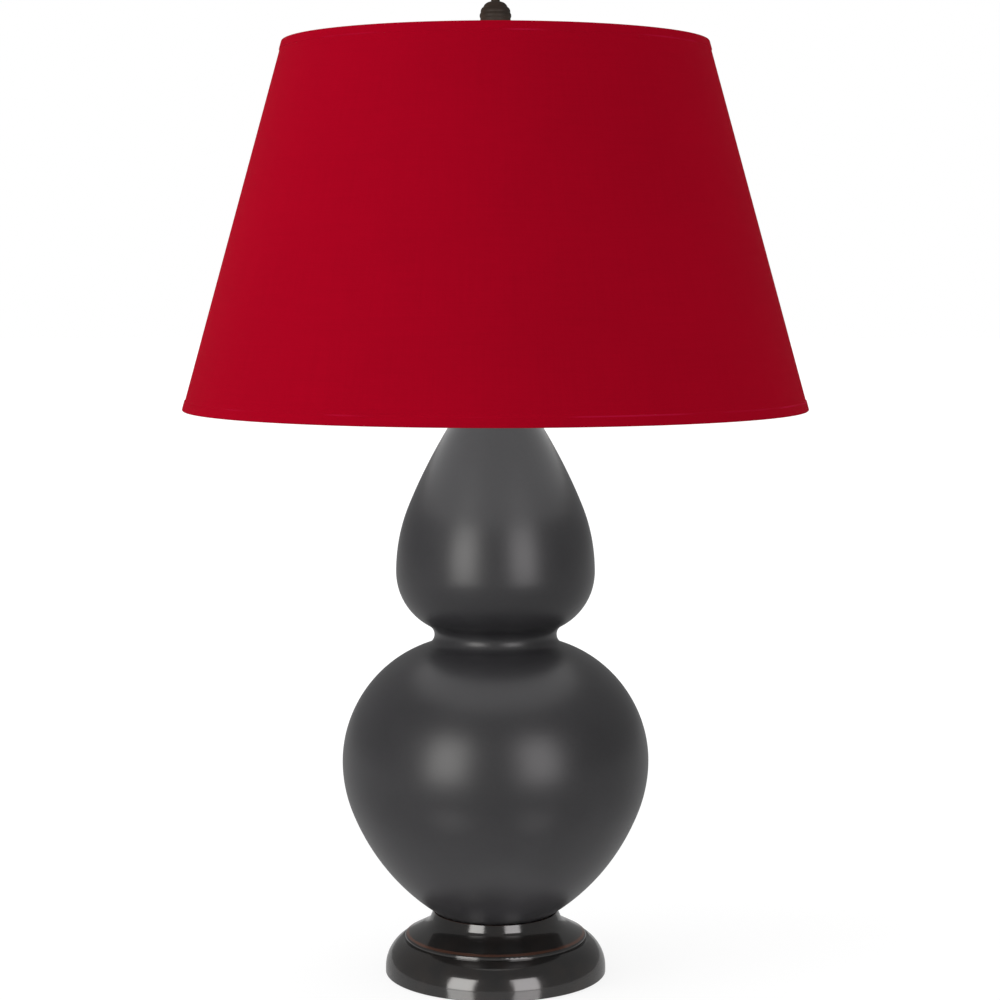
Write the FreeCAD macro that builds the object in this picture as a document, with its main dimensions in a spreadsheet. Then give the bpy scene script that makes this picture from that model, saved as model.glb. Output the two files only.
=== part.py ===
import FreeCAD, Part

# Double gourd table lamp: a glazed ceramic gourd on a patinated metal base, with a threaded pipe
# through its middle that clamps the stack, a shell socket with a turn-knob switch, a harp, and a
# tapered fabric shade under a tiered ball finial.
# Millimetres, +Z up, origin at the middle of the underside. The switch knob faces -Y and the
# lead enters the base at +Y.

import collections
import math
import os
import re

import Sketcher

DOC = FreeCAD.newDocument("DoubleGourdLamp")

# ---------------------------------------------------------------- driving sizes

SIZES = [
    # base casting
    ("foot_radius", 90.3, "outer radius of the foot"),
    ("foot_round", 0.8, "round at the foot's lower edge"),
    ("foot_land", 4.5, "height where the foot's side starts to curve in"),
    ("lip_radius", 76.5, "radius where the curved foot ends"),
    ("lip_height", 28.9, "height where the curved foot ends"),
    ("step_radius", 74.4, "radius of the small step above the curved foot"),
    ("arris_height", 31.5, "height of the shoulder's outer edge"),
    ("arris_round", 1.8, "round on the shoulder's outer edge"),
    ("flare_radius", 55.2, "radius where the shoulder turns up into the collar"),
    ("flare_height", 41.4, "height where the shoulder turns up into the collar"),
    ("flare_round", 12.0, "round between shoulder and collar"),
    ("rim_radius", 50.9, "outer radius of the collar's rim"),
    ("rim_round", 0.45, "round on the collar's rim"),
    ("base_height", 51.2, "height of the collar's rim"),
    ("base_wall", 4.0, "wall of the base casting"),
    ("well_radius", 49.6, "radius of the seat that takes the gourd"),
    ("well_depth", 2.5, "depth of that seat below the rim"),
    ("deck_thickness", 6.0, "thickness of the deck under the seat"),
    ("screw_count", 3, "screws that hold the bottom board"),
    ("post_circle", 74.0, "radius of the circle of the screw posts"),
    ("post_radius", 4.0, "radius of a screw post"),
    ("post_top", 27.0, "height where a screw post is inside the wall"),
    ("screw_radius", 1.9, "shank radius of a board screw"),
    ("screw_head_radius", 3.8, "head radius of a board screw"),
    ("screw_head_height", 2.0, "height of its countersunk head"),
    ("screw_length", 14.0, "length of a board screw"),
    ("screw_slack", 0.1, "radial gap round a screw"),
    # underside
    ("pad_proud", 0.5, "how far the felt stands below the casting"),
    ("pad_radius", 84.5, "radius of the felt pad"),
    ("pad_thickness", 2.0, "thickness of the felt pad"),
    ("board_radius", 85.6, "radius of the bottom board"),
    ("board_thickness", 3.0, "thickness of the bottom board"),
    ("ballast_radius", 44.0, "radius of the ballast disc"),
    ("ballast_thickness", 10.5, "thickness of the ballast disc"),
    # lead inlet at the back of the base
    ("inlet_height", 13.5, "height of the lead inlet"),
    ("inlet_face", 85.2, "distance of the inlet's spot face from the axis"),
    ("inlet_inner", 77.0, "distance of the inlet boss's inner end from the axis"),
    ("inlet_boss", 8.0, "radius of the boss behind the spot face"),
    ("gland_flange", 6.2, "radius of the gland's flange"),
    ("gland_flange_thickness", 2.4, "thickness of the gland's flange"),
    ("gland_body", 4.8, "radius of the gland's body"),
    ("gland_bore", 3.2, "radius of the gland's bore"),
    ("gland_slack", 0.15, "radial gap round the gland"),
    ("lead_radius", 2.2, "radius of the inner lead"),
    ("lead_bend", 12.0, "bend radius of the inner lead under the pipe"),
    # threaded pipe and its nuts
    ("pipe_radius", 4.8, "outer radius of the threaded pipe"),
    ("pipe_bore", 3.3, "bore radius of the threaded pipe"),
    ("pipe_slack", 0.3, "radial gap round the pipe"),
    ("pipe_fit", 0.05, "radial gap of the nuts and the socket cap on the pipe"),
    ("pipe_tail", 1.0, "pipe that stands out below the lower nut"),
    ("pipe_reach", 5.0, "pipe that enters the socket cap"),
    ("washer_radius", 9.0, "radius of the lock washers"),
    ("washer_thickness", 1.2, "thickness of the lock washers"),
    ("nut_flats", 15.0, "width of the nuts across flats"),
    ("nut_height", 4.0, "height of the nuts"),
    # gourd
    ("gasket_thickness", 1.5, "ring gasket under the gourd"),
    ("gasket_inner", 30.0, "inner radius of the ring gasket"),
    ("gasket_outer", 46.4, "outer radius of the ring gasket"),
    ("ring_foot", 47.3, "radius of the gourd's foot"),
    ("belly_join", 84.5, "height where the foot's curve meets the belly's"),
    ("belly_radius", 124.6, "largest radius of the belly"),
    ("belly_height", 125.7, "height of the belly's largest radius"),
    ("belly_low_arc", 111.7, "radius of the belly's curve below that height"),
    ("waist_radius", 49.6, "radius of the waist"),
    ("waist_height", 229.4, "height of the waist"),
    ("waist_arc", 9.0, "radius of the waist's hollow curve"),
    ("crown_radius", 80.7, "largest radius of the upper bulb"),
    ("crown_height", 281.0, "height of that radius"),
    ("crown_high_arc", 140.6, "radius of the upper bulb's curve above that height"),
    ("crown_join", 333.7, "height where that curve meets the neck's"),
    ("mouth_radius", 25.6, "outer radius of the mouth"),
    ("gourd_height", 417.8, "height of the gourd"),
    ("gourd_wall", 6.0, "wall of the gourd"),
    ("floor_thickness", 8.0, "floor of the gourd"),
    ("floor_inner", 46.5, "inner radius at the floor"),
    ("floor_hole", 7.0, "radius of the hole in the floor"),
    # cap and neck above the gourd
    ("cap_gasket", 0.8, "thin ring gasket under the cap"),
    ("cap_radius", 27.5, "radius of the cap"),
    ("cap_edge", 1.4, "thickness of the cap's edge"),
    ("cap_crown", 9.5, "radius of the cap's raised middle"),
    ("cap_height", 4.2, "height of the cap"),
    ("spigot_slack", 0.6, "radial gap between spigot and mouth"),
    ("spigot_depth", 5.0, "depth of the cap's spigot"),
    ("neck_height", 13.0, "height of the neck spacer"),
    ("neck_radius", 8.0, "radius of the neck spacer's ends"),
    ("neck_waist", 6.6, "radius of the neck spacer's hollow"),
    ("neck_end", 2.2, "height of each end bead"),
    # harp saddle
    ("strip_thickness", 2.4, "thickness of the saddle's strip"),
    ("strip_width", 12.0, "width of the saddle's strip"),
    ("saddle_half", 28.0, "distance of each post from the axis"),
    ("saddle_bend", 4.0, "inner bend radius of the saddle"),
    ("saddle_shoulder", 9.0, "height where each post narrows"),
    ("post_width", 5.0, "width of the narrow post"),
    ("post_height", 20.0, "height of each post"),
    ("lap_length", 6.0, "overlap of post and harp"),
    ("lap_gap", 0.3, "gap between post and harp"),
    # harp
    ("harp_height", 254.0, "height of the shade's seat above the saddle's underside"),
    ("harp_wire", 1.6, "radius of the harp's wire"),
    ("harp_half", 60.0, "largest distance of the harp's wire from the axis"),
    ("harp_low_bend", 36.0, "height of the first bend above the harp's foot"),
    ("harp_high_bend", 91.0, "height of the second bend above the harp's foot"),
    ("harp_bend_round", 40.0, "radius of those bends"),
    ("harp_top_round", 52.0, "radius of the top corners"),
    ("eye_radius", 7.5, "radius of the harp's eye"),
    ("eye_thickness", 3.6, "thickness of the harp's eye"),
    ("ferrule_bore", 3.1, "bore of a ferrule over the post"),
    ("ferrule_radius", 4.2, "outer radius of a ferrule"),
    ("ferrule_neck", 1.9, "bore of a ferrule's top round the wire"),
    ("ferrule_height", 13.5, "height of a ferrule"),
    ("ferrule_travel", 12.0, "how far a ferrule slides up"),
    # swivel, fitter and finial
    ("hairline", 0.1, "gap between flat faces that turn on each other"),
    ("seat_radius", 10.0, "radius of the swivel's seat disc"),
    ("seat_thickness", 1.8, "thickness of the seat disc"),
    ("shank_radius", 2.5, "radius of the swivel's shank in the eye"),
    ("shank_slack", 0.08, "radial gap between shank and eye"),
    ("rivet_radius", 4.2, "radius of the riveted head"),
    ("rivet_height", 1.6, "height of the riveted head"),
    ("stud_radius", 3.1, "radius of the threaded stud"),
    ("stud_length", 16.0, "length of the threaded stud above its seat"),
    ("stud_slack", 0.1, "radial gap round the stud"),
    ("fitter_radius", 13.0, "radius of the fitter washer"),
    ("fitter_thickness", 1.5, "thickness of the fitter washer"),
    ("finial_washer_radius", 7.0, "radius of the washer under the finial"),
    ("finial_washer_thickness", 0.8, "thickness of that washer"),
    ("finial_flange", 8.5, "radius of the finial's foot"),
    ("finial_flange_height", 2.6, "height of the finial's foot"),
    ("finial_stem", 5.2, "radius of the finial's stem"),
    ("finial_collar", 8.6, "radius of the collar under the ball"),
    ("collar_height", 15.0, "height of that collar's edge"),
    ("ball_radius", 12.5, "radius of the finial's ball"),
    ("ball_height", 32.2, "height of the ball's centre above the finial's foot"),
    ("tier_pitch", 4.7, "height of a tier on the ball"),
    ("tier_offset", 2.9, "height of a groove above the ball's centre"),
    ("tier_depth", 0.9, "depth of the grooves between tiers"),
    ("button_radius", 3.5, "radius of the button on the ball"),
    ("finial_height", 46.0, "height of the finial"),
    ("finial_bore_depth", 16.0, "depth of the finial's threaded hole"),
    # shade
    ("shade_bottom_radius", 251.0, "outer radius at the lower edge"),
    ("shade_top_radius", 169.7, "outer radius at the upper edge"),
    ("shade_height", 291.3, "height of the shade"),
    ("fabric_thickness", 0.8, "thickness of the fabric skin"),
    ("liner_thickness", 1.2, "thickness of the stiff liner"),
    ("trim_thickness", 0.6, "thickness of the edge trims"),
    ("bottom_trim", 8.0, "height of the lower trim"),
    ("top_trim", 7.0, "height of the upper trim"),
    ("inner_trim", 5.0, "height of the trims' inner leaf"),
    ("ring_wire", 1.5, "radius of the shade rings' wire"),
    ("ring_slack", 0.15, "gap round a ring inside its trim"),
    ("arm_count", 3, "arms of the spider"),
    ("arm_wire", 1.5, "radius of a spider arm's wire"),
    ("arm_start", 10.6, "distance of an arm's inner end from the axis"),
    ("arm_low_bend", 22.0, "distance of an arm's first bend from the axis"),
    ("arm_high_bend", 36.0, "distance of an arm's second bend from the axis"),
    ("arm_bend_round", 8.0, "radius of an arm's bends"),
    ("arm_slack", 0.2, "gap round an arm in the upper trim"),
    ("weld_gap", 0.04, "gap between an arm's coped end and the ring"),
    ("spider_drop", 8.9, "drop of the fitter below the top ring"),
    # socket
    ("shell_radius", 17.5, "outer radius of the socket shell"),
    ("sheet_thickness", 0.6, "sheet of the socket shell and cap"),
    ("hub_radius", 7.6, "radius of the socket cap's hub"),
    ("hub_height", 5.5, "height of the socket cap's hub"),
    ("socket_cap_height", 17.0, "height of the socket cap"),
    ("socket_cap_round", 5.0, "round of the socket cap's shoulder"),
    ("shell_height", 42.0, "height of the socket shell"),
    ("shell_lap", 3.0, "overlap of shell and cap"),
    ("shell_fit", 0.05, "radial gap between shell, cap and insulator"),
    ("bead_size", 0.7, "how far the shell's top bead stands out"),
    ("slot_width", 8.0, "width of the switch slot"),
    ("slot_height", 17.0, "height of the switch slot"),
    ("paper_thickness", 0.7, "thickness of the paper insulator"),
    ("body_gap", 0.3, "gap between socket body and insulator"),
    ("terminal_radius", 9.5, "radius of the socket body's lower block"),
    ("terminal_bottom", 8.5, "height of that block above the socket's foot"),
    ("terminal_top", 13.5, "top of that block"),
    ("body_top", 31.0, "top of the socket body above the socket's foot"),
    ("switch_height", 21.5, "height of the switch shaft above the socket's foot"),
    ("rotor_radius", 5.0, "radius of the switch rotor"),
    ("rotor_start", 4.0, "distance of the rotor from the lamp's axis"),
    ("rotor_thickness", 4.0, "thickness of the rotor"),
    ("chamber_slack", 0.4, "gap round the rotor in its chamber"),
    ("shaft_radius", 2.0, "radius of the switch shaft"),
    ("shaft_slack", 0.06, "radial running gap of the switch shaft"),
    ("knob_start", 20.5, "distance of the knob from the lamp's axis"),
    ("knob_length", 17.0, "length of the knob"),
    ("knob_radius", 6.6, "radius of the knob's ribbed grip"),
    ("knob_neck", 3.6, "radius of the knob's neck"),
    ("knob_neck_length", 3.5, "length of the knob's neck"),
    ("knob_ribs", 12, "grooves round the knob"),
    ("knob_groove", 1.1, "radius of a groove round the knob"),
    ("screw_shell_wall", 0.4, "wall of the socket's screw shell"),
    ("screw_shell_height", 20.0, "height of the socket's screw shell"),
    ("contact_radius", 3.0, "radius of the socket's centre contact"),
    ("contact_height", 2.0, "height of the socket's centre contact"),
    ("terminal_screw", 1.8, "shank radius of a terminal screw"),
    ("terminal_head", 2.3, "head radius of a terminal screw"),
    ("terminal_head_height", 1.2, "head height of a terminal screw"),
    ("terminal_screw_length", 5.0, "length of a terminal screw"),
    ("set_screw_radius", 1.5, "radius of the set screw in the cap's hub"),
    # bulb
    ("bulb_gap", 0.3, "gap between the bulb's contact and the socket's"),
    ("thread_gap", 0.4, "radial gap between bulb cap and screw shell"),
    ("bulb_cap_radius", 13.1, "radius of the bulb's screw cap"),
    ("bulb_cap_wall", 0.4, "sheet of the bulb's screw cap"),
    ("bulb_cap_top", 26.0, "top of the screw cap above the bulb's contact"),
    ("bulb_travel", 25.0, "how far the bulb rises as it is unscrewed"),
    ("eyelet_radius", 4.2, "radius of the bulb's contact"),
    ("eyelet_height", 1.2, "height of the bulb's contact"),
    ("cap_insulator_height", 2.6, "height of the black insulator in the cap"),
    ("glass_radius", 33.5, "largest radius of the bulb's glass"),
    ("glass_neck", 12.3, "radius of the glass neck in the cap"),
    ("glass_wall", 0.8, "wall of the bulb's glass"),
    ("glass_bottom", 18.0, "bottom of the glass above the bulb's contact"),
    ("glass_flare_height", 36.0, "height where the glass leaves its neck"),
    ("glass_flare_arc", 30.0, "radius of the hollow curve there"),
    ("bulb_height", 134.0, "height of the bulb"),
    ("stem_radius", 4.0, "radius of the glass stem inside the bulb"),
    ("stem_height", 62.0, "height of the stem's top above the bulb's contact"),
    ("filament_wire", 0.35, "radius of the filament and its supports"),
    ("filament_half", 11.0, "half the filament's width"),
    ("filament_rise", 16.0, "height of the filament above the stem"),
]

# ---------------------------------------------------------------- levels worked out from them

LEVELS = [
    ("board_level", "pad_thickness", "underside of the bottom board"),
    ("board_top", "board_level + board_thickness", "top of the bottom board"),
    ("well_floor", "base_height - well_depth", "floor of the gourd's seat"),
    ("deck_under", "well_floor - deck_thickness", "underside of the base's deck"),
    ("ballast_level", "deck_under - ballast_thickness", "underside of the ballast disc"),
    ("low_washer_level", "ballast_level - washer_thickness", "lower lock washer"),
    ("low_nut_level", "low_washer_level - nut_height", "lower nut"),
    ("pipe_level", "low_nut_level - pipe_tail", "lower end of the pipe"),
    ("pipe_hole", "pipe_radius + pipe_slack", "holes that the pipe passes through"),
    ("gourd_level", "well_floor + gasket_thickness", "foot of the gourd"),
    ("gourd_top", "gourd_level + gourd_height", "mouth of the gourd"),
    ("belly_high_arc", "((belly_radius - waist_radius - waist_arc)^2 + "
     "(waist_height - belly_height)^2 - waist_arc^2) / (2 * (belly_radius - waist_radius))",
     "radius of the belly's upper curve, which touches the waist's"),
    ("crown_low_arc", "((crown_radius - waist_radius - waist_arc)^2 + "
     "(crown_height - waist_height)^2 - waist_arc^2) / (2 * (crown_radius - waist_radius))",
     "radius of the upper bulb's lower curve, which touches the waist's"),
    ("cap_level", "gourd_top + cap_gasket", "seat of the cap"),
    ("neck_level", "cap_level + cap_height", "foot of the neck spacer"),
    ("saddle_level", "neck_level + neck_height", "underside of the saddle"),
    ("high_washer_level", "saddle_level + strip_thickness", "upper lock washer"),
    ("high_nut_level", "high_washer_level + washer_thickness", "upper nut"),
    ("socket_level", "high_nut_level + nut_height", "foot of the socket"),
    ("harp_level", "saddle_level + post_height - lap_length + lap_gap", "foot of the harp"),
    ("seat_level", "saddle_level + harp_height", "seat of the shade's fitter"),
    ("harp_top", "seat_level - seat_thickness - hairline - eye_thickness / 2 - harp_level",
     "wire of the harp's top above its foot"),
    ("ferrule_level", "saddle_level + saddle_shoulder + hairline", "rest of the ferrules"),
    ("finial_washer_level", "seat_level + fitter_thickness", "washer under the finial"),
    ("finial_level", "finial_washer_level + finial_washer_thickness + hairline", "foot of the finial"),
    ("arm_level", "finial_washer_level + arm_wire", "inner end of the spider's arms"),
    ("taper", "(shade_bottom_radius - shade_top_radius) / shade_height", "radius lost per height"),
    ("cone_slack", "ring_wire * (sqrt(1 + taper^2) - 1) + ring_slack", "gap a ring needs in the cone"),
    ("ring_inset", "trim_thickness + fabric_thickness + liner_thickness + ring_wire + cone_slack",
     "wire of a ring inside the shade's outer surface"),
    ("ring_rise", "trim_thickness + ring_wire + ring_slack", "wire of a ring from the shade's edge"),
    ("trim_width", "ring_inset + ring_wire + cone_slack + trim_thickness", "width of a trim"),
    ("shade_level", "arm_level + spider_drop + ring_rise - shade_height", "lower edge of the shade"),
    ("top_ring_radius", "shade_top_radius + taper * ring_rise - ring_inset", "radius of the top ring"),
    ("bottom_ring_radius", "shade_bottom_radius - taper * ring_rise - ring_inset",
     "radius of the bottom ring"),
    ("arm_reach", "top_ring_radius - ring_wire / 2 - arm_start", "length of an arm before it is coped"),
    ("shell_level", "socket_cap_height - shell_lap", "foot of the shell above the socket's foot"),
    ("shell_inner", "shell_radius - sheet_thickness", "inner radius of the socket shell"),
    ("cap_shell_radius", "shell_inner - shell_fit", "outer radius of the socket cap inside the shell"),
    ("paper_inner", "shell_inner - sheet_thickness - 2 * shell_fit - paper_thickness",
     "inner radius of the paper"),
    ("socket_body_radius", "paper_inner - body_gap", "radius of the socket body"),
    ("screw_shell_inner", "bulb_cap_radius + thread_gap", "inner radius of the screw shell"),
    ("bulb_level", "socket_level + body_top + contact_height + bulb_gap", "foot of the bulb"),
    ("lead_top", "socket_level + terminal_bottom", "upper end of the inner lead"),
]


def names_of(rows):
    return {alias for alias, _, _ in rows}


SHEET_OF = {alias: "Sizes" for alias in names_of(SIZES)}
SHEET_OF.update({alias: "Levels" for alias in names_of(LEVELS)})


def bound(text, own=""):
    """The formula with each size written as its sheet has it; own is the sheet that holds it."""
    def full_name(match):
        word = match.group()
        sheet = SHEET_OF.get(word, own)
        return word if sheet == own else f"{sheet}.{word}"
    return re.sub(r"[a-z][a-z_]*", full_name, text)


def fill_sheet(name, rows):
    """A sheet with one row for each size: its meaning, and its value under an alias."""
    sheet = DOC.addObject("Spreadsheet::Sheet", name)
    for row, (alias, content, meaning) in enumerate(rows, start=1):
        value = "=" + bound(content, name) if isinstance(content, str) else str(content)
        sheet.set(f"A{row}", meaning)
        sheet.set(f"B{row}", value)
        sheet.setAlias(f"B{row}", alias)
    DOC.recompute()
    return sheet


SIZE_SHEET = fill_sheet("Sizes", SIZES)
LEVEL_SHEET = fill_sheet("Levels", LEVELS)


def number(text):
    """The value of a formula in the sheets' names."""
    return float(SIZE_SHEET.evalExpression(bound(text)))


def vector(x="0", y="0", z="0"):
    return FreeCAD.Vector(number(x), number(y), number(z))


def bind(thing, **formulas):
    """Ties each property of the object to its formula."""
    for key, text in formulas.items():
        thing.setExpression(key, bound(text))


X_AXIS = FreeCAD.Vector(1, 0, 0)
Y_AXIS = FreeCAD.Vector(0, 1, 0)
Z_AXIS = FreeCAD.Vector(0, 0, 1)
FRONT = -Y_AXIS


def place(thing, x="0", y="0", z="0", rotation=FreeCAD.Rotation()):
    """Puts the object at a point given by formulas, and ties its place to them."""
    thing.Placement = FreeCAD.Placement(vector(x, y, z), rotation)
    for key, text in (("x", x), ("y", y), ("z", z)):
        if text != "0":
            thing.setExpression(f"Placement.Base.{key}", bound(text))


def facing(direction):
    """The rotation that turns +Z to the direction."""
    return FreeCAD.Rotation(Z_AXIS, direction)


# ---------------------------------------------------------------- outlines

# A corner of an outline. round is the radius that it is rounded to. bow says that the stretch that
# arrives here is an arc: "from" leaves the last corner smoothly, "into" runs smoothly into the
# next stretch.
Corner = collections.namedtuple("Corner", "x y round bow", defaults=("", ""))

# A stretch of an outline: its number in the sketch, and which of its ends is first and last.
Stretch = collections.namedtuple("Stretch", "index first last")


class Outline:
    """Lines and arcs in a sketch, in the order of travel, with each size tied to the sheets."""

    def __init__(self, sketch):
        self.sketch = sketch

    def line(self, start, end):
        index = self.sketch.addGeometry(Part.LineSegment(start, end), False)
        return Stretch(index, 1, 2)

    def arc(self, centre, start, end, leftward):
        circle = Part.Circle(centre, Z_AXIS, centre.distanceToPoint(start))
        ends = [math.atan2(p.y - centre.y, p.x - centre.x) for p in (start, end)]
        if not leftward:
            ends.reverse()
        index = self.sketch.addGeometry(Part.ArcOfCircle(circle, *ends), False)
        return Stretch(index, 1, 2) if leftward else Stretch(index, 2, 1)

    def join(self, before, after, smooth):
        kind = "Tangent" if smooth else "Coincident"
        self.sketch.addConstraint(
            Sketcher.Constraint(kind, before.index, before.last, after.index, after.first))

    def tie(self, constraint, text):
        index = self.sketch.addConstraint(constraint)
        name = f"size_{index}"
        self.sketch.renameConstraint(index, name)
        self.sketch.setExpression(f"Constraints.{name}", bound(text))

    def pin_x(self, index, end, text):
        if text == "0":
            self.sketch.addConstraint(Sketcher.Constraint("PointOnObject", index, end, -2))
        else:
            self.tie(Sketcher.Constraint("DistanceX", -1, 1, index, end, number(text)), text)

    def pin_y(self, index, end, text):
        if text == "0":
            self.sketch.addConstraint(Sketcher.Constraint("PointOnObject", index, end, -1))
        else:
            self.tie(Sketcher.Constraint("DistanceY", -1, 1, index, end, number(text)), text)

    def pin(self, index, end, x, y):
        self.pin_x(index, end, x)
        self.pin_y(index, end, y)

    def radius(self, stretch, text):
        self.tie(Sketcher.Constraint("Radius", stretch.index, number(text)), text)

    def circle(self, x, y, radius):
        shape = Part.Circle(vector(x, y), Z_AXIS, number(radius))
        index = self.sketch.addGeometry(shape, False)
        self.pin(index, 3, x, y)
        self.radius(Stretch(index, 3, 3), radius)

    def corner_point(self, corner, before, after):
        """The unrounded corner, as a point on both stretches."""
        index = self.sketch.addGeometry(Part.Point(vector(corner.x, corner.y)), True)
        for stretch in (before, after):
            self.sketch.addConstraint(Sketcher.Constraint("PointOnObject", index, 1, stretch.index))
        self.pin(index, 1, corner.x, corner.y)


def tangent_arc(start, heading, end):
    """Centre of the arc that leaves start along heading and ends at end, and if it turns left."""
    chord = end - start
    left = FreeCAD.Vector(-heading.y, heading.x, 0)
    radius = chord.dot(chord) / (2 * chord.dot(left))
    return start + left * radius, radius > 0


def draw(sketch, corners, closed=True):
    """Joins the corners in order by lines, rounds and bowed stretches."""
    outline = Outline(sketch)
    count = len(corners)
    points = [vector(c.x, c.y) for c in corners]
    spans = range(count if closed else count - 1)
    headings = [(points[(i + 1) % count] - points[i]).normalize() for i in spans]

    def trim(i):
        """Length that the round at corner i takes off each of its stretches."""
        if not corners[i % count].round:
            return 0.0
        turn = headings[i - 1].getAngle(headings[i % count])
        return number(corners[i % count].round) * math.tan(turn / 2)

    stretches = []
    for i in spans:
        start, end, bow = points[i], points[(i + 1) % count], corners[(i + 1) % count].bow
        if not bow:
            stretches.append(outline.line(start + headings[i] * trim(i),
                                          end - headings[i] * trim(i + 1)))
        elif bow == "from":
            centre, leftward = tangent_arc(start, headings[i - 1], end)
            stretches.append(outline.arc(centre, start, end, leftward))
        else:
            centre, rightward = tangent_arc(end, -headings[(i + 1) % count], start)
            stretches.append(outline.arc(centre, start, end, not rightward))

    for i, corner in enumerate(corners):
        if not closed and i in (0, count - 1):
            only = stretches[0] if i == 0 else stretches[-1]
            outline.pin(only.index, only.first if i == 0 else only.last, corner.x, corner.y)
            continue
        before, after = stretches[i - 1], stretches[i]
        if corner.round:
            start = points[i] - headings[i - 1] * trim(i)
            end = points[i] + headings[i] * trim(i)
            centre, leftward = tangent_arc(start, headings[i - 1], end)
            bend = outline.arc(centre, start, end, leftward)
            outline.join(before, bend, smooth=True)
            outline.join(bend, after, smooth=True)
            outline.radius(bend, corner.round)
            outline.corner_point(corner, before, after)
        else:
            smooth = corners[(i + 1) % count].bow == "from" or corner.bow == "into"
            outline.join(before, after, smooth)
            outline.pin(after.index, after.first, corner.x, corner.y)


# ---------------------------------------------------------------- bodies and features

def new_body(label):
    body = DOC.addObject("PartDesign::Body", label)
    body.Label = label
    return body


def new_sketch(body, plane, name="Profile"):
    """A sketch on one of the body's own planes."""
    sketch = body.newObject("Sketcher::SketchObject", name)
    support = next(f for f in body.Origin.OriginFeatures if f.Role == plane)
    sketch.AttachmentSupport = (support, [""])
    sketch.MapMode = "FlatFace"
    return sketch


def revolve(body, corners, cut=False):
    """Turns the outline, drawn as radius and height, about the body's Z axis."""
    sketch = new_sketch(body, "XZ_Plane")
    draw(sketch, corners)
    return revolve_sketch(body, sketch, cut)


def revolve_sketch(body, sketch, cut=False):
    kind = "PartDesign::Groove" if cut else "PartDesign::Revolution"
    feature = body.newObject(kind, "Turn")
    feature.Profile = sketch
    feature.ReferenceAxis = (sketch, ["V_Axis"])
    feature.Angle = 360
    return feature


def turned(label, corners, **where):
    """A piece turned about its own axis."""
    body = new_body(label)
    revolve(body, corners)
    place(body, **where)
    return body


def ring(label, inner, outer, height, **where):
    """A flat ring or tube; inner may be "0" for a disc."""
    corners = [Corner(inner, "0"), Corner(outer, "0"), Corner(outer, height), Corner(inner, height)]
    return turned(label, corners, **where)


def round_bar(body, name, radius, length, cut=False, direction=Z_AXIS, **where):
    """A cylinder added to the body, or cut from it, from a point along a direction."""
    kind = "PartDesign::SubtractiveCylinder" if cut else "PartDesign::AdditiveCylinder"
    feature = body.newObject(kind, name)
    bind(feature, Radius=radius, Height=length)
    place(feature, rotation=facing(direction), **where)
    return feature


def block(body, name, length, width, height, **where):
    """A box cut from the body."""
    feature = body.newObject("PartDesign::SubtractiveBox", name)
    bind(feature, Length=length, Width=width, Height=height)
    place(feature, **where)
    return feature


def bent_wire(label, route_plane, corners, start_plane, start, radius, **where):
    """Round wire along a route of straight runs and bends."""
    body = new_body(label)
    section = new_sketch(body, start_plane, "Section")
    Outline(section).circle(*start, radius)
    route = new_sketch(body, route_plane, "Route")
    draw(route, corners, closed=False)
    DOC.recompute()
    pipe = body.newObject("PartDesign::AdditivePipe", "Wire")
    pipe.Profile = section
    pipe.Spine = (route, [f"Edge{i + 1}" for i in range(len(route.Shape.Edges))])
    place(body, **where)
    return body


def hex_nut(label, **where):
    """A hexagon nut for the threaded pipe."""
    blank = DOC.addObject("Part::Prism", label + "_blank")
    blank.Polygon = 6
    bind(blank, Circumradius="nut_flats / sqrt(3)", Height="nut_height")
    hole = DOC.addObject("Part::Cylinder", label + "_hole")
    bind(hole, Radius="pipe_radius + pipe_fit", Height="nut_height")
    nut = DOC.addObject("Part::Cut", label)
    nut.Base = blank
    nut.Tool = hole
    place(nut, **where)
    return nut


def screw(label, shank, head, head_height, length, countersunk, **where):
    """A slotted screw, its axis +Z from the head's outer face."""
    flat = [] if countersunk else [Corner(head, head_height)]
    body = new_body(label)
    revolve(body, [Corner("0", "0"), Corner(head, "0"), *flat, Corner(shank, head_height),
                   Corner(shank, length), Corner("0", length)])
    block(body, "Slot", f"3 * {head}", f"{head} / 4", f"{head_height} / 2",
          x=f"-1.5 * {head}", y=f"-{head} / 8")
    place(body, **where)
    return body


def around(count, first):
    """The angles, in degrees, of evenly spaced pieces round the axis."""
    total = round(number(count))
    return [first + 360 * i / total for i in range(total)]


def group(label, pieces):
    """Like pieces that share one node."""
    node = DOC.addObject("Part::Compound", label)
    node.Links = pieces
    return node


# ---------------------------------------------------------------- base

def felt_pad():
    return ring("felt_pad", "0", "pad_radius", "pad_thickness")


def bottom_board():
    """Fibre board that closes the base, countersunk for its screws."""
    body = new_body("bottom_board")
    revolve(body, [Corner("0", "0"), Corner("board_radius", "0"),
                   Corner("board_radius", "board_thickness"), Corner("0", "board_thickness")])
    for i, angle in enumerate(around("screw_count", -90)):
        across, along = f"post_circle * cos({angle})", f"post_circle * sin({angle})"
        round_bar(body, f"Hole{i}", "screw_radius + screw_slack", "board_thickness", cut=True,
                  x=across, y=along)
        sink = body.newObject("PartDesign::SubtractiveCone", f"Sink{i}")
        bind(sink, Radius1="screw_head_radius + screw_slack", Radius2="screw_radius + screw_slack",
             Height="screw_head_height")
        place(sink, x=across, y=along)
    place(body, z="board_level")
    return body


def board_screws():
    screws = [screw(f"board_screw_{i}", "screw_radius", "screw_head_radius", "screw_head_height",
                    "screw_length", countersunk=True, z="board_level",
                    x=f"post_circle * cos({angle})", y=f"post_circle * sin({angle})")
              for i, angle in enumerate(around("screw_count", -90))]
    return group("board_screws", screws)


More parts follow.
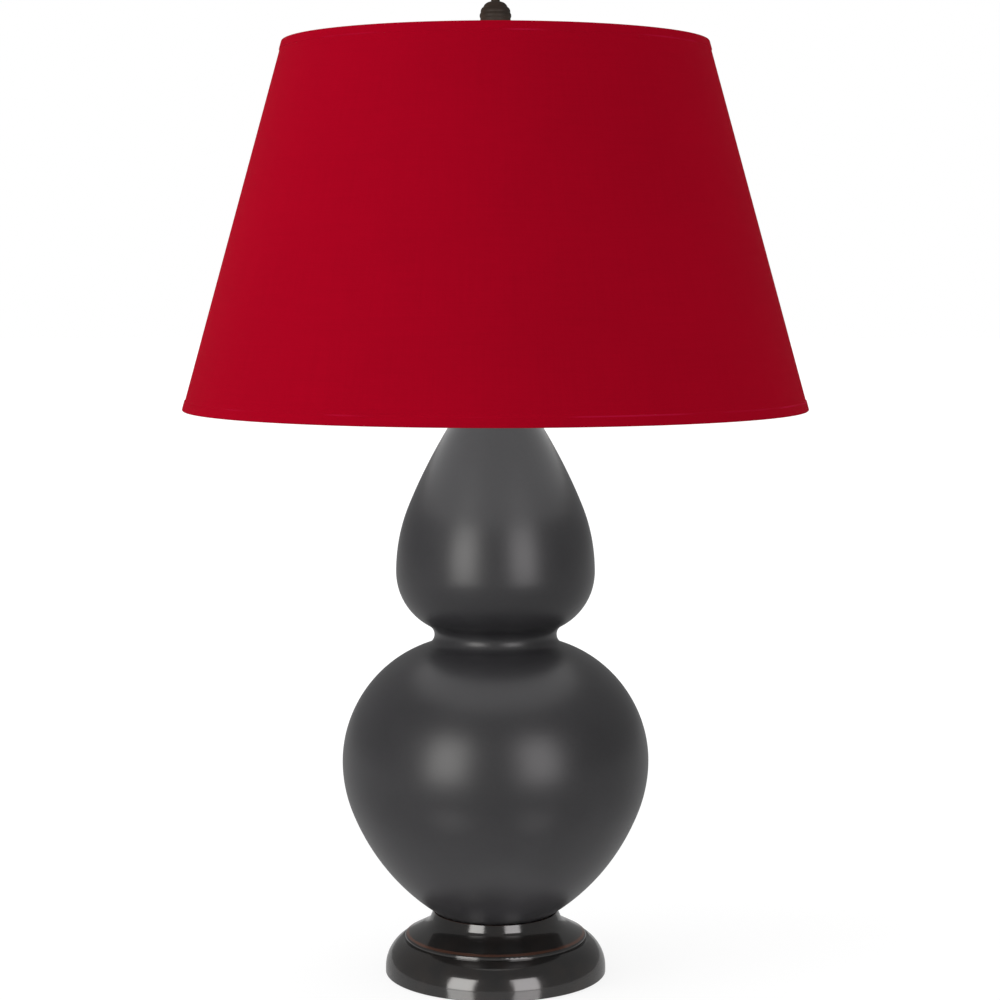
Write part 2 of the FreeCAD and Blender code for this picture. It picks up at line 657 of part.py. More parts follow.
def base_casting():
    """Hollow cast base: curved foot, sloping shoulder, hollow collar, and a seat for the gourd."""
    body = new_body("base_casting")
    inner = "foot_radius - base_wall"
    revolve(body, [
        Corner(inner, "pad_proud"),
        Corner("foot_radius", "pad_proud", round="foot_round"),
        Corner("foot_radius", "foot_land"),
        Corner("lip_radius", "lip_height", bow="from"),
        Corner("step_radius", "lip_height"),
        Corner("step_radius", "arris_height", round="arris_round"),
        Corner("flare_radius", "flare_height", round="flare_round"),
        Corner("rim_radius", "base_height", round="rim_round"),
        Corner("well_radius", "base_height", round="rim_round"),
        Corner("well_radius", "well_floor"),
        Corner("pipe_hole", "well_floor"),
        Corner("pipe_hole", "deck_under"),
        Corner("flare_radius - 1.5 * base_wall", "deck_under"),
        Corner("lip_radius - base_wall", "lip_height - base_wall"),
        Corner(inner, "foot_land", bow="into"),
    ])
    for i, angle in enumerate(around("screw_count", -90)):
        across, along = f"post_circle * cos({angle})", f"post_circle * sin({angle})"
        round_bar(body, f"Post{i}", "post_radius", "post_top - board_top", x=across, y=along,
                  z="board_top")
        round_bar(body, f"Tapping{i}", "screw_radius + screw_slack", "screw_length + 1 - board_thickness",
                  cut=True, x=across, y=along, z="board_top")
    round_bar(body, "InletBoss", "inlet_boss", "inlet_face - inlet_inner", direction=Y_AXIS,
              y="inlet_inner", z="inlet_height")
    round_bar(body, "SpotFace", "gland_flange + gland_slack", "foot_radius - inlet_face + 1", cut=True,
              direction=Y_AXIS, y="inlet_face", z="inlet_height")
    round_bar(body, "InletHole", "gland_body + gland_slack", "foot_radius - inlet_inner + 1", cut=True,
              direction=Y_AXIS, y="inlet_inner - 1", z="inlet_height")
    return body


def cord_gland():
    """Flanged bush in the inlet, its axis +Y."""
    length = "inlet_face - inlet_inner"
    return turned("cord_gland", [
        Corner("gland_bore", "0", round="0.4"),
        Corner("gland_body", "0"),
        Corner("gland_body", length),
        Corner("gland_flange", length),
        Corner("gland_flange", f"{length} + gland_flange_thickness", round="0.8"),
        Corner("gland_bore", f"{length} + gland_flange_thickness", round="0.8"),
    ], y="inlet_inner", z="inlet_height", rotation=facing(Y_AXIS))


def ballast_disc():
    return ring("ballast_disc", "pipe_hole", "ballast_radius", "ballast_thickness",
                z="ballast_level")


def seat_gasket():
    return ring("seat_gasket", "gasket_inner", "gasket_outer", "gasket_thickness", z="well_floor")


def lower_lock_washer():
    return ring("lower_lock_washer", "pipe_hole", "washer_radius", "washer_thickness",
                z="low_washer_level")


def upper_lock_washer():
    return ring("upper_lock_washer", "pipe_hole", "washer_radius", "washer_thickness",
                z="high_washer_level")


def threaded_pipe():
    return ring("threaded_pipe", "pipe_bore", "pipe_radius", "socket_level + pipe_reach - pipe_level",
                z="pipe_level")


def inner_lead():
    """The lead from the gland, along the base, up through the pipe to the socket."""
    drop = "lead_top - inlet_height"
    return bent_wire("inner_lead", "YZ_Plane",
                     [Corner("0", "0"), Corner("0", f"-({drop})", round="lead_bend"),
                      Corner("inlet_inner", f"-({drop})")],
                     "XY_Plane", ("0", "0"), "lead_radius", z="lead_top")


# ---------------------------------------------------------------- gourd

def gourd_outline(body, inset, floor, floor_radius):
    """The double gourd's outline, moved in by the inset: seven arcs that join smoothly.

    From the floor up: foot curve, belly below and above its widest, the hollow waist, the upper
    bulb below and above its widest, and the neck curve up to the mouth.
    """
    sketch = new_sketch(body, "XZ_Plane")
    outline = Outline(sketch)
    low_arc, high_arc = f"belly_low_arc - {inset}", f"belly_high_arc - {inset}"
    waist_arc = f"waist_arc + {inset}"
    bulb_low_arc, bulb_high_arc = f"crown_low_arc - {inset}", f"crown_high_arc - {inset}"
    belly_join = f"belly_height - (belly_height - belly_join) * ({low_arc}) / belly_low_arc"
    neck_join = f"crown_height + (crown_join - crown_height) * ({bulb_high_arc}) / crown_high_arc"
    low_centre = vector("belly_radius - belly_low_arc", "belly_height")
    high_centre = vector("belly_radius - belly_high_arc", "belly_height")
    waist_centre = vector("waist_radius + waist_arc", "waist_height")
    bulb_low_centre = vector("crown_radius - crown_low_arc", "crown_height")
    bulb_high_centre = vector("crown_radius - crown_high_arc", "crown_height")

    def on_arc(centre, arc, height):
        rise = number(height) - centre.y
        return centre + FreeCAD.Vector(math.sqrt(number(arc) ** 2 - rise ** 2), rise, 0)

    def towards(centre, other, arc):
        return centre + (other - centre).normalize() * number(arc)

    foot = vector(floor_radius, floor)
    join = on_arc(low_centre, low_arc, belly_join)
    belly = vector(f"belly_radius - {inset}", "belly_height")
    enter_waist = towards(high_centre, waist_centre, high_arc)
    leave_waist = towards(bulb_low_centre, waist_centre, bulb_low_arc)
    bulb = vector(f"crown_radius - {inset}", "crown_height")
    neck = on_arc(bulb_high_centre, bulb_high_arc, neck_join)
    mouth = vector(f"mouth_radius - {inset}", "gourd_height")
    out = (join - low_centre).normalize()
    foot_centre, rightward = tangent_arc(join, FreeCAD.Vector(out.y, -out.x, 0), foot)
    out = (neck - bulb_high_centre).normalize()
    neck_centre, leftward = tangent_arc(neck, FreeCAD.Vector(-out.y, out.x, 0), mouth)
    arcs = [
        outline.arc(foot_centre, foot, join, not rightward),
        outline.arc(low_centre, join, belly, True),
        outline.arc(high_centre, belly, enter_waist, True),
        outline.arc(waist_centre, enter_waist, leave_waist, False),
        outline.arc(bulb_low_centre, leave_waist, bulb, True),
        outline.arc(bulb_high_centre, bulb, neck, True),
        outline.arc(neck_centre, neck, mouth, leftward),
    ]
    for before, after in zip(arcs, arcs[1:]):
        outline.join(before, after, smooth=True)
    foot_curve, low, high, waist, bulb_low, bulb_high, neck_curve = arcs
    outline.pin(low.index, 3, "belly_radius - belly_low_arc", "belly_height")
    outline.radius(low, low_arc)
    outline.pin_y(low.index, low.first, belly_join)
    outline.pin_y(high.index, 3, "belly_height")
    outline.pin(waist.index, 3, "waist_radius + waist_arc", "waist_height")
    outline.radius(waist, waist_arc)
    outline.pin_y(bulb_low.index, 3, "crown_height")
    outline.pin(bulb_high.index, 3, "crown_radius - crown_high_arc", "crown_height")
    outline.radius(bulb_high, bulb_high_arc)
    outline.pin_y(bulb_high.index, bulb_high.last, neck_join)

    top_middle, floor_middle = vector("0", "gourd_height"), vector("0", floor)
    lines = [outline.line(mouth, top_middle), outline.line(top_middle, floor_middle),
             outline.line(floor_middle, foot)]
    for before, after in zip([neck_curve] + lines, lines + [foot_curve]):
        outline.join(before, after, smooth=False)
    outline.pin(lines[0].index, 1, f"mouth_radius - {inset}", "gourd_height")
    outline.pin(lines[1].index, 1, "0", "gourd_height")
    outline.pin(lines[2].index, 1, "0", floor)
    outline.pin(foot_curve.index, foot_curve.first, floor_radius, floor)
    return sketch


def ceramic_gourd():
    """The hollow gourd: an outer form, the same form moved in by the wall, and a hole for the pipe."""
    body = new_body("ceramic_gourd")
    revolve_sketch(body, gourd_outline(body, "0", "0", "ring_foot"))
    DOC.recompute()
    revolve_sketch(body, gourd_outline(body, "gourd_wall", "floor_thickness", "floor_inner"), cut=True)
    round_bar(body, "FloorHole", "floor_hole", "floor_thickness", cut=True)
    place(body, z="gourd_level")
    return body


# ---------------------------------------------------------------- cap, neck and saddle

def cap_gasket():
    return ring("cap_gasket", "mouth_radius - gourd_wall", "mouth_radius", "cap_gasket",
                z="gourd_top")


def vase_cap():
    """Domed cap over the gourd's mouth, with a spigot inside it."""
    spigot = "mouth_radius - gourd_wall - spigot_slack"
    return turned("vase_cap", [
        Corner("pipe_hole", "-spigot_depth"),
        Corner(spigot, "-spigot_depth", round="0.6"),
        Corner(spigot, "0"),
        Corner("cap_radius", "0"),
        Corner("cap_radius", "cap_edge"),
        Corner("cap_crown", "cap_height", bow="into"),
        Corner("pipe_hole", "cap_height"),
    ], z="cap_level")


def neck_spacer():
    """Turned spacer between cap and saddle, hollowed between its end beads."""
    return turned("neck_spacer", [
        Corner("pipe_hole", "0"),
        Corner("neck_radius", "0", round="0.8"),
        Corner("neck_radius", "neck_end", round="0.8"),
        Corner("neck_waist", "neck_end + 1.2", round="0.8"),
        Corner("neck_waist", "neck_height - neck_end - 1.2", round="0.8"),
        Corner("neck_radius", "neck_height - neck_end", round="0.8"),
        Corner("neck_radius", "neck_height", round="0.8"),
        Corner("pipe_hole", "neck_height"),
    ], z="neck_level")


def harp_saddle():
    """U-shaped strip whose narrowed posts lap with the harp's feet."""
    body = new_body("harp_saddle")
    outer, inner = "saddle_half + strip_thickness / 2", "saddle_half - strip_thickness / 2"
    lap_face, lap_foot = "saddle_half + lap_gap / 2", "post_height - lap_length"
    right = [
        Corner(outer, "0", round="saddle_bend + strip_thickness"),
        Corner(outer, "post_height"),
        Corner(lap_face, "post_height"),
        Corner(lap_face, lap_foot),
        Corner(inner, lap_foot),
        Corner(inner, "strip_thickness", round="saddle_bend"),
    ]
    left = [corner._replace(x=f"-({corner.x})") for corner in reversed(right)]
    sketch = new_sketch(body, "XZ_Plane")
    draw(sketch, right + left)
    pad = body.newObject("PartDesign::Pad", "Strip")
    pad.Profile = sketch
    pad.Midplane = True
    bind(pad, Length="strip_width")
    shoulder = "(strip_width - post_width) / 2"
    for side, start in (("Front", "-strip_width / 2"), ("Back", "post_width / 2")):
        block(body, side, "2 * saddle_half + 2 * strip_thickness", shoulder,
              "post_height - saddle_shoulder", x="-saddle_half - strip_thickness", y=start,
              z="saddle_shoulder")
    round_bar(body, "PipeHole", "pipe_hole", "strip_thickness", cut=True)
    place(body, z="saddle_level")
    return body


# ---------------------------------------------------------------- harp

def harp():
    """Wire harp: straight feet, shoulders that swing out, rounded top, and an eye for the swivel."""
    right = [
        Corner("saddle_half", "0"),
        Corner("saddle_half", "harp_low_bend", round="harp_bend_round"),
        Corner("harp_half", "harp_high_bend", round="harp_bend_round"),
        Corner("harp_half", "harp_top", round="harp_top_round"),
    ]
    left = [corner._replace(x="-" + corner.x) for corner in reversed(right)]
    body = bent_wire("harp", "XZ_Plane", right + left, "XY_Plane", ("saddle_half", "0"), "harp_wire",
                     z="harp_level")
    round_bar(body, "Eye", "eye_radius", "eye_thickness", z="harp_top - eye_thickness / 2")
    round_bar(body, "EyeHole", "shank_radius + shank_slack", "eye_thickness", cut=True,
              z="harp_top - eye_thickness / 2")
    for side, start in (("Right", "saddle_half - lap_gap / 2"),
                        ("Left", "-saddle_half + lap_gap / 2 - 2 * harp_wire")):
        block(body, side, "2 * harp_wire", "2 * harp_wire", "lap_length", x=start, y="-harp_wire")
    return body


def ferrule(label, x):
    """Sleeve that drops over a lap of post and harp; its top is necked in to the wire."""
    return turned(label, [
        Corner("ferrule_bore", "0"),
        Corner("ferrule_radius", "0", round="0.3"),
        Corner("ferrule_radius", "ferrule_height - 3", round="1"),
        Corner("ferrule_neck + 1", "ferrule_height", round="0.3"),
        Corner("ferrule_neck", "ferrule_height"),
        Corner("ferrule_neck", "ferrule_height - 1.6"),
        Corner("ferrule_bore", "ferrule_height - 3"),
    ], x=x, z="ferrule_level")


def harp_swivel():
    """Riveted shank, seat disc and threaded stud that turn in the harp's eye."""
    shank_foot = "-seat_thickness - 2 * hairline - eye_thickness"
    return turned("harp_swivel", [
        Corner("0", f"{shank_foot} - rivet_height"),
        Corner("rivet_radius", f"{shank_foot} - rivet_height", round="0.6"),
        Corner("rivet_radius", shank_foot),
        Corner("shank_radius", shank_foot),
        Corner("shank_radius", "-seat_thickness"),
        Corner("seat_radius", "-seat_thickness", round="0.4"),
        Corner("seat_radius", "0", round="0.4"),
        Corner("stud_radius", "0"),
        Corner("stud_radius", "stud_length", round="0.5"),
        Corner("0", "stud_length"),
    ], z="seat_level")


# ---------------------------------------------------------------- finial

def finial_washer():
    return ring("finial_washer", "stud_radius + stud_slack", "finial_washer_radius",
                "finial_washer_thickness", z="finial_washer_level")


def on_ball(height, change):
    """A corner on the ball's surface at a height from its centre, moved out by the change."""
    return Corner(f"sqrt(ball_radius^2 - ({height})^2) + {change}", f"ball_height + {height}")


def finial():
    """Turned finial: foot, stem, collar, a ball ringed in tiers, and a small button."""
    bore = "stud_radius + stud_slack"
    tiers = []
    for k in (-2, -1, 0, 1):
        groove = f"({k} * tier_pitch + tier_offset)"
        tiers.append(on_ball(groove, "0 - tier_depth")._replace(round="0.3"))
        if k < 1:
            middle = f"(({k} + 0.5) * tier_pitch + tier_offset)"
            tiers.append(on_ball(middle, "tier_depth / 2")._replace(round="2.4"))
    lowest = "(tier_offset - 2.6 * tier_pitch)"
    highest = "(tier_offset + 1.5 * tier_pitch)"
    return turned("finial", [
        Corner(bore, "0"),
        Corner("finial_flange", "0", round="0.6"),
        Corner("finial_flange", "finial_flange_height", round="0.8"),
        Corner("finial_stem", "2 * finial_flange_height", round="2"),
        Corner("finial_stem", "collar_height - 5", round="3"),
        Corner("finial_collar", "collar_height - 1.5", round="0.8"),
        Corner("finial_collar", "collar_height", round="0.8"),
        Corner("finial_stem + 0.6", "collar_height + 2.2", round="1"),
        on_ball(lowest, "0"),
        on_ball("(tier_offset - 2.4 * tier_pitch)", "tier_depth / 2")._replace(round="1.2"),
        *tiers,
        on_ball(highest, "tier_depth / 2")._replace(round="2"),
        Corner("button_radius", "ball_height + ball_radius - 0.6"),
        Corner("button_radius", "finial_height", round="0.9"),
        Corner("0", "finial_height"),
        Corner("0", "finial_bore_depth"),
        Corner(bore, "finial_bore_depth"),
    ], z="finial_level")


# ---------------------------------------------------------------- shade

def outer_radius(height, inset="0"):
    """Radius of the shade's cone at a height above its lower edge, moved in by the inset."""
    return f"shade_bottom_radius - taper * ({height}) - ({inset})"


def cone_shell(label, inset, thickness):
    """A layer of the shade, between its trims' folds."""
    low, high = "trim_thickness", "shade_height - trim_thickness"
    deep = f"{inset} + {thickness}"
    return turned(label, [
        Corner(outer_radius(low, deep), low), Corner(outer_radius(low, inset), low),
        Corner(outer_radius(high, inset), high), Corner(outer_radius(high, deep), high),
    ], z="shade_level")


def shade_fabric():
    return cone_shell("shade_fabric", "trim_thickness", "fabric_thickness")


def shade_liner():
    return cone_shell("shade_liner", "trim_thickness + fabric_thickness", "liner_thickness")


def edge_trim(label, edge, fold, outer_end, inner_end):
    """A strip folded over an edge of the shade and the ring inside it, as a U in section."""
    inside = "trim_width - trim_thickness"
    return turned(label, [
        Corner(outer_radius(edge), edge, round="trim_thickness"),
        Corner(outer_radius(outer_end), outer_end),
        Corner(outer_radius(outer_end, "trim_thickness"), outer_end),
        Corner(outer_radius(fold, "trim_thickness"), fold),
        Corner(outer_radius(fold, inside), fold),
        Corner(outer_radius(inner_end, inside), inner_end),
        Corner(outer_radius(inner_end, "trim_width"), inner_end),
        Corner(outer_radius(edge, "trim_width"), edge, round="trim_thickness"),
    ], z="shade_level")


def shade_trims():
    """The two trims; the upper one's inner leaf is notched for the spider's arms."""
    bottom = edge_trim("shade_bottom_trim", "0", "trim_thickness", "bottom_trim", "inner_trim")
    top = edge_trim("shade_top_trim", "shade_height", "shade_height - trim_thickness",
                    "shade_height - top_trim", "shade_height - inner_trim")
    start, half = "(top_ring_radius - 2 * ring_wire - trim_thickness)", "(arm_wire + arm_slack)"
    for i, angle in enumerate(around("arm_count", 90)):
        block(top, f"Notch{i}", "2 * ring_wire + trim_thickness", f"2 * {half}",
              "inner_trim - trim_thickness + 1", rotation=FreeCAD.Rotation(Z_AXIS, angle),
              x=f"{start} * cos({angle}) + {half} * sin({angle})",
              y=f"{start} * sin({angle}) - {half} * cos({angle})", z="shade_height - inner_trim - 1")
    return [bottom, top]


def shade_ring(label, radius, wire, level):
    shape = DOC.addObject("Part::Torus", label)
    bind(shape, Radius1=radius, Radius2=wire)
    place(shape, z=level)
    return shape


def fitter_washer():
    return ring("fitter_washer", "stud_radius + stud_slack", "fitter_radius", "fitter_thickness",
                z="seat_level")


def spider_arm(index, angle):
    """Wire from the fitter washer, up to the height of the top ring, and out to it, where its end
    is coped to the ring."""
    bar = bent_wire(f"spider_wire_{index + 1}", "XZ_Plane", [
        Corner("0", "0"),
        Corner("arm_low_bend - arm_start", "0", round="arm_bend_round"),
        Corner("arm_high_bend - arm_start", "spider_drop", round="arm_bend_round"),
        Corner("arm_reach", "spider_drop"),
    ], "YZ_Plane", ("0", "0"), "arm_wire", x=f"arm_start * cos({angle})",
        y=f"arm_start * sin({angle})", z="arm_level", rotation=FreeCAD.Rotation(Z_AXIS, angle))
    cope = shade_ring(f"spider_cope_{index + 1}", "top_ring_radius", "ring_wire + weld_gap",
                      "shade_level + shade_height - ring_rise")
    arm = DOC.addObject("Part::Cut", f"spider_arm_{index + 1}")
    arm.Base = bar
    arm.Tool = cope
    return arm


# ---------------------------------------------------------------- socket

def socket_cap():
    """Lower half of the socket's housing, threaded on the pipe."""
    return turned("socket_cap", [
        Corner("pipe_radius + pipe_fit", "0"),
        Corner("hub_radius", "0", round="0.5"),
        Corner("hub_radius", "hub_height", round="1.5"),
        Corner("cap_shell_radius", "2 * hub_height", round="socket_cap_round"),
        Corner("cap_shell_radius", "socket_cap_height"),
        Corner("cap_shell_radius - sheet_thickness", "socket_cap_height"),
        Corner("cap_shell_radius - sheet_thickness", "2 * hub_height + sheet_thickness / 2",
               round="socket_cap_round - sheet_thickness"),
        Corner("hub_radius - sheet_thickness", "hub_height + sheet_thickness"),
        Corner("pipe_radius + pipe_fit", "hub_height + sheet_thickness"),
    ], z="socket_level")


def socket_shell():
    """Upper half of the housing, slotted at the front for the switch and beaded at its mouth."""
    body = new_body("socket_shell")
    revolve(body, [
        Corner("shell_inner", "shell_level"),
        Corner("shell_radius", "shell_level"),
        Corner("shell_radius", "shell_level + shell_height - 3"),
        Corner("shell_radius + bead_size", "shell_level + shell_height - 2", round="0.6"),
        Corner("shell_radius", "shell_level + shell_height"),
        Corner("shell_inner", "shell_level + shell_height"),
    ])
    block(body, "Slot", "slot_width", "shell_radius", "slot_height", x="-slot_width / 2",
          y="-1.2 * shell_radius", z="shell_level")
    place(body, z="socket_level")
    return body


def paper_insulator():
    """Paper tube inside the shell, slotted like it."""
    body = new_body("paper_insulator")
    low, high = "socket_cap_height - shell_lap", "shell_level + shell_height - 1"
    outer = "paper_inner + paper_thickness"
    revolve(body, [Corner("paper_inner", low), Corner(outer, low), Corner(outer, high),
                   Corner("paper_inner", high)])
    block(body, "Slot", "slot_width", "shell_radius", "slot_height", x="-slot_width / 2",
          y="-1.2 * shell_radius", z=low)
    place(body, z="socket_level")
    return body


def socket_body():
    """Moulded block that holds the terminals, the switch chamber and the screw shell."""
    body = new_body("socket_body")
    revolve(body, [
        Corner("0", "terminal_bottom"),
        Corner("terminal_radius", "terminal_bottom"),
        Corner("terminal_radius", "terminal_top"),
        Corner("socket_body_radius", "terminal_top", round="0.6"),
        Corner("socket_body_radius", "body_top", round="0.6"),
        Corner("0", "body_top"),
    ])
    round_bar(body, "Chamber", "rotor_radius + chamber_slack",
              "rotor_thickness + 2 * chamber_slack", cut=True, direction=FRONT,
              y="chamber_slack - rotor_start", z="switch_height")
    round_bar(body, "ShaftHole", "shaft_radius + shaft_slack", "shell_radius", cut=True,
              direction=FRONT, y="-rotor_start", z="switch_height")
    for name, side, sign in (("Right", X_AXIS, ""), ("Left", -X_AXIS, "-")):
        round_bar(body, name, "terminal_screw + screw_slack", "terminal_screw_length + 1", cut=True,
                  direction=side, z="(terminal_bottom + terminal_top) / 2",
                  x=f"{sign}(terminal_radius + terminal_head_height - terminal_screw_length - 1)")
    place(body, z="socket_level")
    return body


def terminal_screws():
    sides = (("right", -X_AXIS, ""), ("left", X_AXIS, "-"))
    screws = [screw(f"terminal_screw_{name}", "terminal_screw", "terminal_head",
                    "terminal_head_height", "terminal_screw_length", countersunk=False,
                    x=f"{sign}(terminal_radius + terminal_head_height)",
                    z="socket_level + (terminal_bottom + terminal_top) / 2",
                    rotation=facing(inward))
              for name, inward, sign in sides]
    return group("terminal_screws", screws)


def screw_shell():
    """The socket's threaded shell, with a floor round the centre contact."""
    outer = "screw_shell_inner + screw_shell_wall"
    return turned("screw_shell", [
        Corner("2 * contact_radius", "body_top"),
        Corner(outer, "body_top", round="0.8"),
        Corner(outer, "body_top + screw_shell_height"),
        Corner("screw_shell_inner", "body_top + screw_shell_height"),
        Corner("screw_shell_inner", "body_top + screw_shell_wall"),
        Corner("2 * contact_radius", "body_top + screw_shell_wall"),
    ], z="socket_level")


def centre_contact():
    return ring("centre_contact", "0", "contact_radius", "contact_height",
                z="socket_level + body_top")


# ---------------------------------------------------------------- switch

def switch_rotor():
    return ring("switch_rotor", "0", "rotor_radius", "rotor_thickness", y="-rotor_start",
                z="socket_level + switch_height", rotation=facing(FRONT))


def switch_shaft():
    start = "rotor_start + rotor_thickness"
    return ring("switch_shaft", "0", "shaft_radius", f"knob_start + knob_length / 2 - ({start})",
                y=f"-({start})", z="socket_level + switch_height", rotation=facing(FRONT))


def switch_knob():
    """Turn knob: a slim neck and a grip with grooves all round."""
    body = new_body("switch_knob")
    revolve(body, [
        Corner("shaft_radius", "0"),
        Corner("knob_neck", "0", round="0.4"),
        Corner("knob_neck", "knob_neck_length", round="1"),
        Corner("knob_radius", "knob_neck_length + 2", round="1.5"),
        Corner("knob_radius", "knob_length", round="1.6"),
        Corner("0", "knob_length"),
        Corner("0", "knob_length / 2"),
        Corner("shaft_radius", "knob_length / 2"),
    ])
    DOC.recompute()
    groove = round_bar(body, "Groove", "knob_groove", "knob_length", cut=True,
                       x="knob_radius + knob_groove / 3", z="knob_neck_length + 1")
    DOC.recompute()
    pattern = body.newObject("PartDesign::PolarPattern", "Grooves")
    pattern.Originals = [groove]
    axis = next(f for f in body.Origin.OriginFeatures if f.Role == "Z_Axis")
    pattern.Axis = (axis, [""])
    pattern.Angle = 360
    bind(pattern, Occurrences="knob_ribs")
    body.Tip = pattern
    place(body, y="-knob_start", z="socket_level + switch_height", rotation=facing(FRONT))
    return body


# ---------------------------------------------------------------- bulb

def bulb_contact():
    return ring("bulb_contact", "0", "eyelet_radius", "eyelet_height", z="bulb_level")


def cap_insulator():
    """Black glass cone between the bulb's contact and its screw cap."""
    return turned("cap_insulator", [
        Corner("0", "eyelet_height"), Corner("eyelet_radius + 1.5", "eyelet_height", round="0.4"),
        Corner("bulb_cap_radius - 1", "eyelet_height + cap_insulator_height", round="0.6"),
        Corner("0", "eyelet_height + cap_insulator_height"),
    ], z="bulb_level")


def bulb_cap():
    """Screw cap of the bulb."""
    low = "eyelet_height + cap_insulator_height"
    inner = "bulb_cap_radius - bulb_cap_wall"
    return turned("bulb_cap", [
        Corner("bulb_cap_radius - 2", low),
        Corner("bulb_cap_radius", low, round="0.6"),
        Corner("bulb_cap_radius", "bulb_cap_top"),
        Corner(inner, "bulb_cap_top"),
        Corner(inner, f"{low} + bulb_cap_wall"),
        Corner("bulb_cap_radius - 2", f"{low} + bulb_cap_wall"),
    ], z="bulb_level")


def crossing_tangent(high, high_radius, low, low_radius):
    """Unit normal, pointing down, of the straight line that touches the upper circle on its outer
    side and the lower circle on its inner side."""
    gap = low - high
    along = gap / gap.Length
    share = (high_radius + low_radius) / gap.Length
    across = FreeCAD.Vector(-along.y, along.x, 0) * math.sqrt(1 - share * share)
    return next(n for n in (along * share + across, along * share - across) if n.x > 0 > n.y)


def glass_outline(body, inset):
    """The bulb's glass, moved in by the inset: round top, straight flank, hollow curve, neck."""
    sketch = new_sketch(body, "XZ_Plane")
    outline = Outline(sketch)
    top_arc, flare_arc, neck = f"glass_radius - {inset}", f"glass_flare_arc + {inset}", f"glass_neck - {inset}"
    top_centre = vector("0", "bulb_height - glass_radius")
    flare_centre = vector("glass_neck + glass_flare_arc", "glass_flare_height")
    normal = crossing_tangent(top_centre, number(top_arc), flare_centre, number(flare_arc))
    pole = vector("0", f"bulb_height - {inset}")
    leave_top = top_centre + normal * number(top_arc)
    enter_flare = flare_centre - normal * number(flare_arc)
    neck_top = vector(neck, "glass_flare_height")
    neck_foot, foot_middle = vector(neck, "glass_bottom"), vector("0", "glass_bottom")
    smooth = [
        outline.arc(top_centre, pole, leave_top, False),
        outline.line(leave_top, enter_flare),
        outline.arc(flare_centre, enter_flare, neck_top, True),
        outline.line(neck_top, neck_foot),
    ]
    sharp = [outline.line(neck_foot, foot_middle), outline.line(foot_middle, pole)]
    for before, after in zip(smooth, smooth[1:]):
        outline.join(before, after, smooth=True)
    for before, after in zip([smooth[-1]] + sharp, sharp + [smooth[0]]):
        outline.join(before, after, smooth=False)
    top, _, flare, neck_line = smooth
    outline.radius(top, top_arc)
    outline.radius(flare, flare_arc)
    outline.pin(top.index, 3, "0", "bulb_height - glass_radius")
    outline.pin_x(top.index, top.first, "0")
    outline.pin(flare.index, 3, "glass_neck + glass_flare_arc", "glass_flare_height")
    outline.sketch.addConstraint(Sketcher.Constraint("Vertical", neck_line.index))
    outline.pin_y(neck_line.index, 2, "glass_bottom")
    outline.pin(sharp[1].index, 1, "0", "glass_bottom")
    return sketch


def bulb_glass():
    """Hollow glass of the bulb, open at the neck inside the cap."""
    body = new_body("bulb_glass")
    revolve_sketch(body, glass_outline(body, "0"))
    DOC.recompute()
    revolve_sketch(body, glass_outline(body, "glass_wall"), cut=True)
    place(body, z="bulb_level")
    return body


def bulb_stem():
    """Glass stem that carries the filament."""
    flare = "glass_neck - glass_wall - 0.3"
    return turned("bulb_stem", [
        Corner("0", "glass_bottom"), Corner(flare, "glass_bottom"),
        Corner(flare, "glass_bottom + 1"), Corner("stem_radius", "glass_bottom + 9", round="6"),
        Corner("stem_radius", "stem_height", round="1"), Corner("0", "stem_height"),
    ], z="bulb_level")


def filament():
    """Filament and its two supports, bent from one wire."""
    return bent_wire("filament", "XZ_Plane", [
        Corner("stem_radius / 2", "0"),
        Corner("stem_radius / 2", "filament_rise / 4", round="2"),
        Corner("filament_half", "filament_rise", round="1.5"),
        Corner("-filament_half", "filament_rise", round="1.5"),
        Corner("-stem_radius / 2", "filament_rise / 4", round="2"),
        Corner("-stem_radius / 2", "0"),
    ], "XY_Plane", ("stem_radius / 2", "0"), "filament_wire", z="bulb_level + stem_height")


# ---------------------------------------------------------------- the whole lamp

def build():
    """Every piece of the lamp, from the felt up."""
    return [
        felt_pad(), bottom_board(), board_screws(), base_casting(), cord_gland(), ballast_disc(),
        lower_lock_washer(), hex_nut("lower_pipe_nut", z="low_nut_level"), threaded_pipe(),
        inner_lead(), seat_gasket(), ceramic_gourd(), cap_gasket(), vase_cap(), neck_spacer(),
        harp_saddle(), upper_lock_washer(), hex_nut("upper_pipe_nut", z="high_nut_level"),
        socket_cap(), socket_shell(), paper_insulator(), socket_body(), terminal_screws(),
        screw_shell(), centre_contact(), switch_rotor(), switch_shaft(), switch_knob(),
        bulb_contact(), cap_insulator(), bulb_cap(), bulb_glass(), bulb_stem(), filament(),
        harp(), ferrule("ferrule_right", "saddle_half"), ferrule("ferrule_left", "-saddle_half"),
        harp_swivel(), fitter_washer(),
        *[spider_arm(i, angle) for i, angle in enumerate(around("arm_count", 90))],
        shade_ring("shade_top_ring", "top_ring_radius", "ring_wire",
                   "shade_level + shade_height - ring_rise"),
        shade_ring("shade_bottom_ring", "bottom_ring_radius", "ring_wire", "shade_level + ring_rise"),
        shade_liner(), shade_fabric(), *shade_trims(), finial_washer(), finial(),
    ]


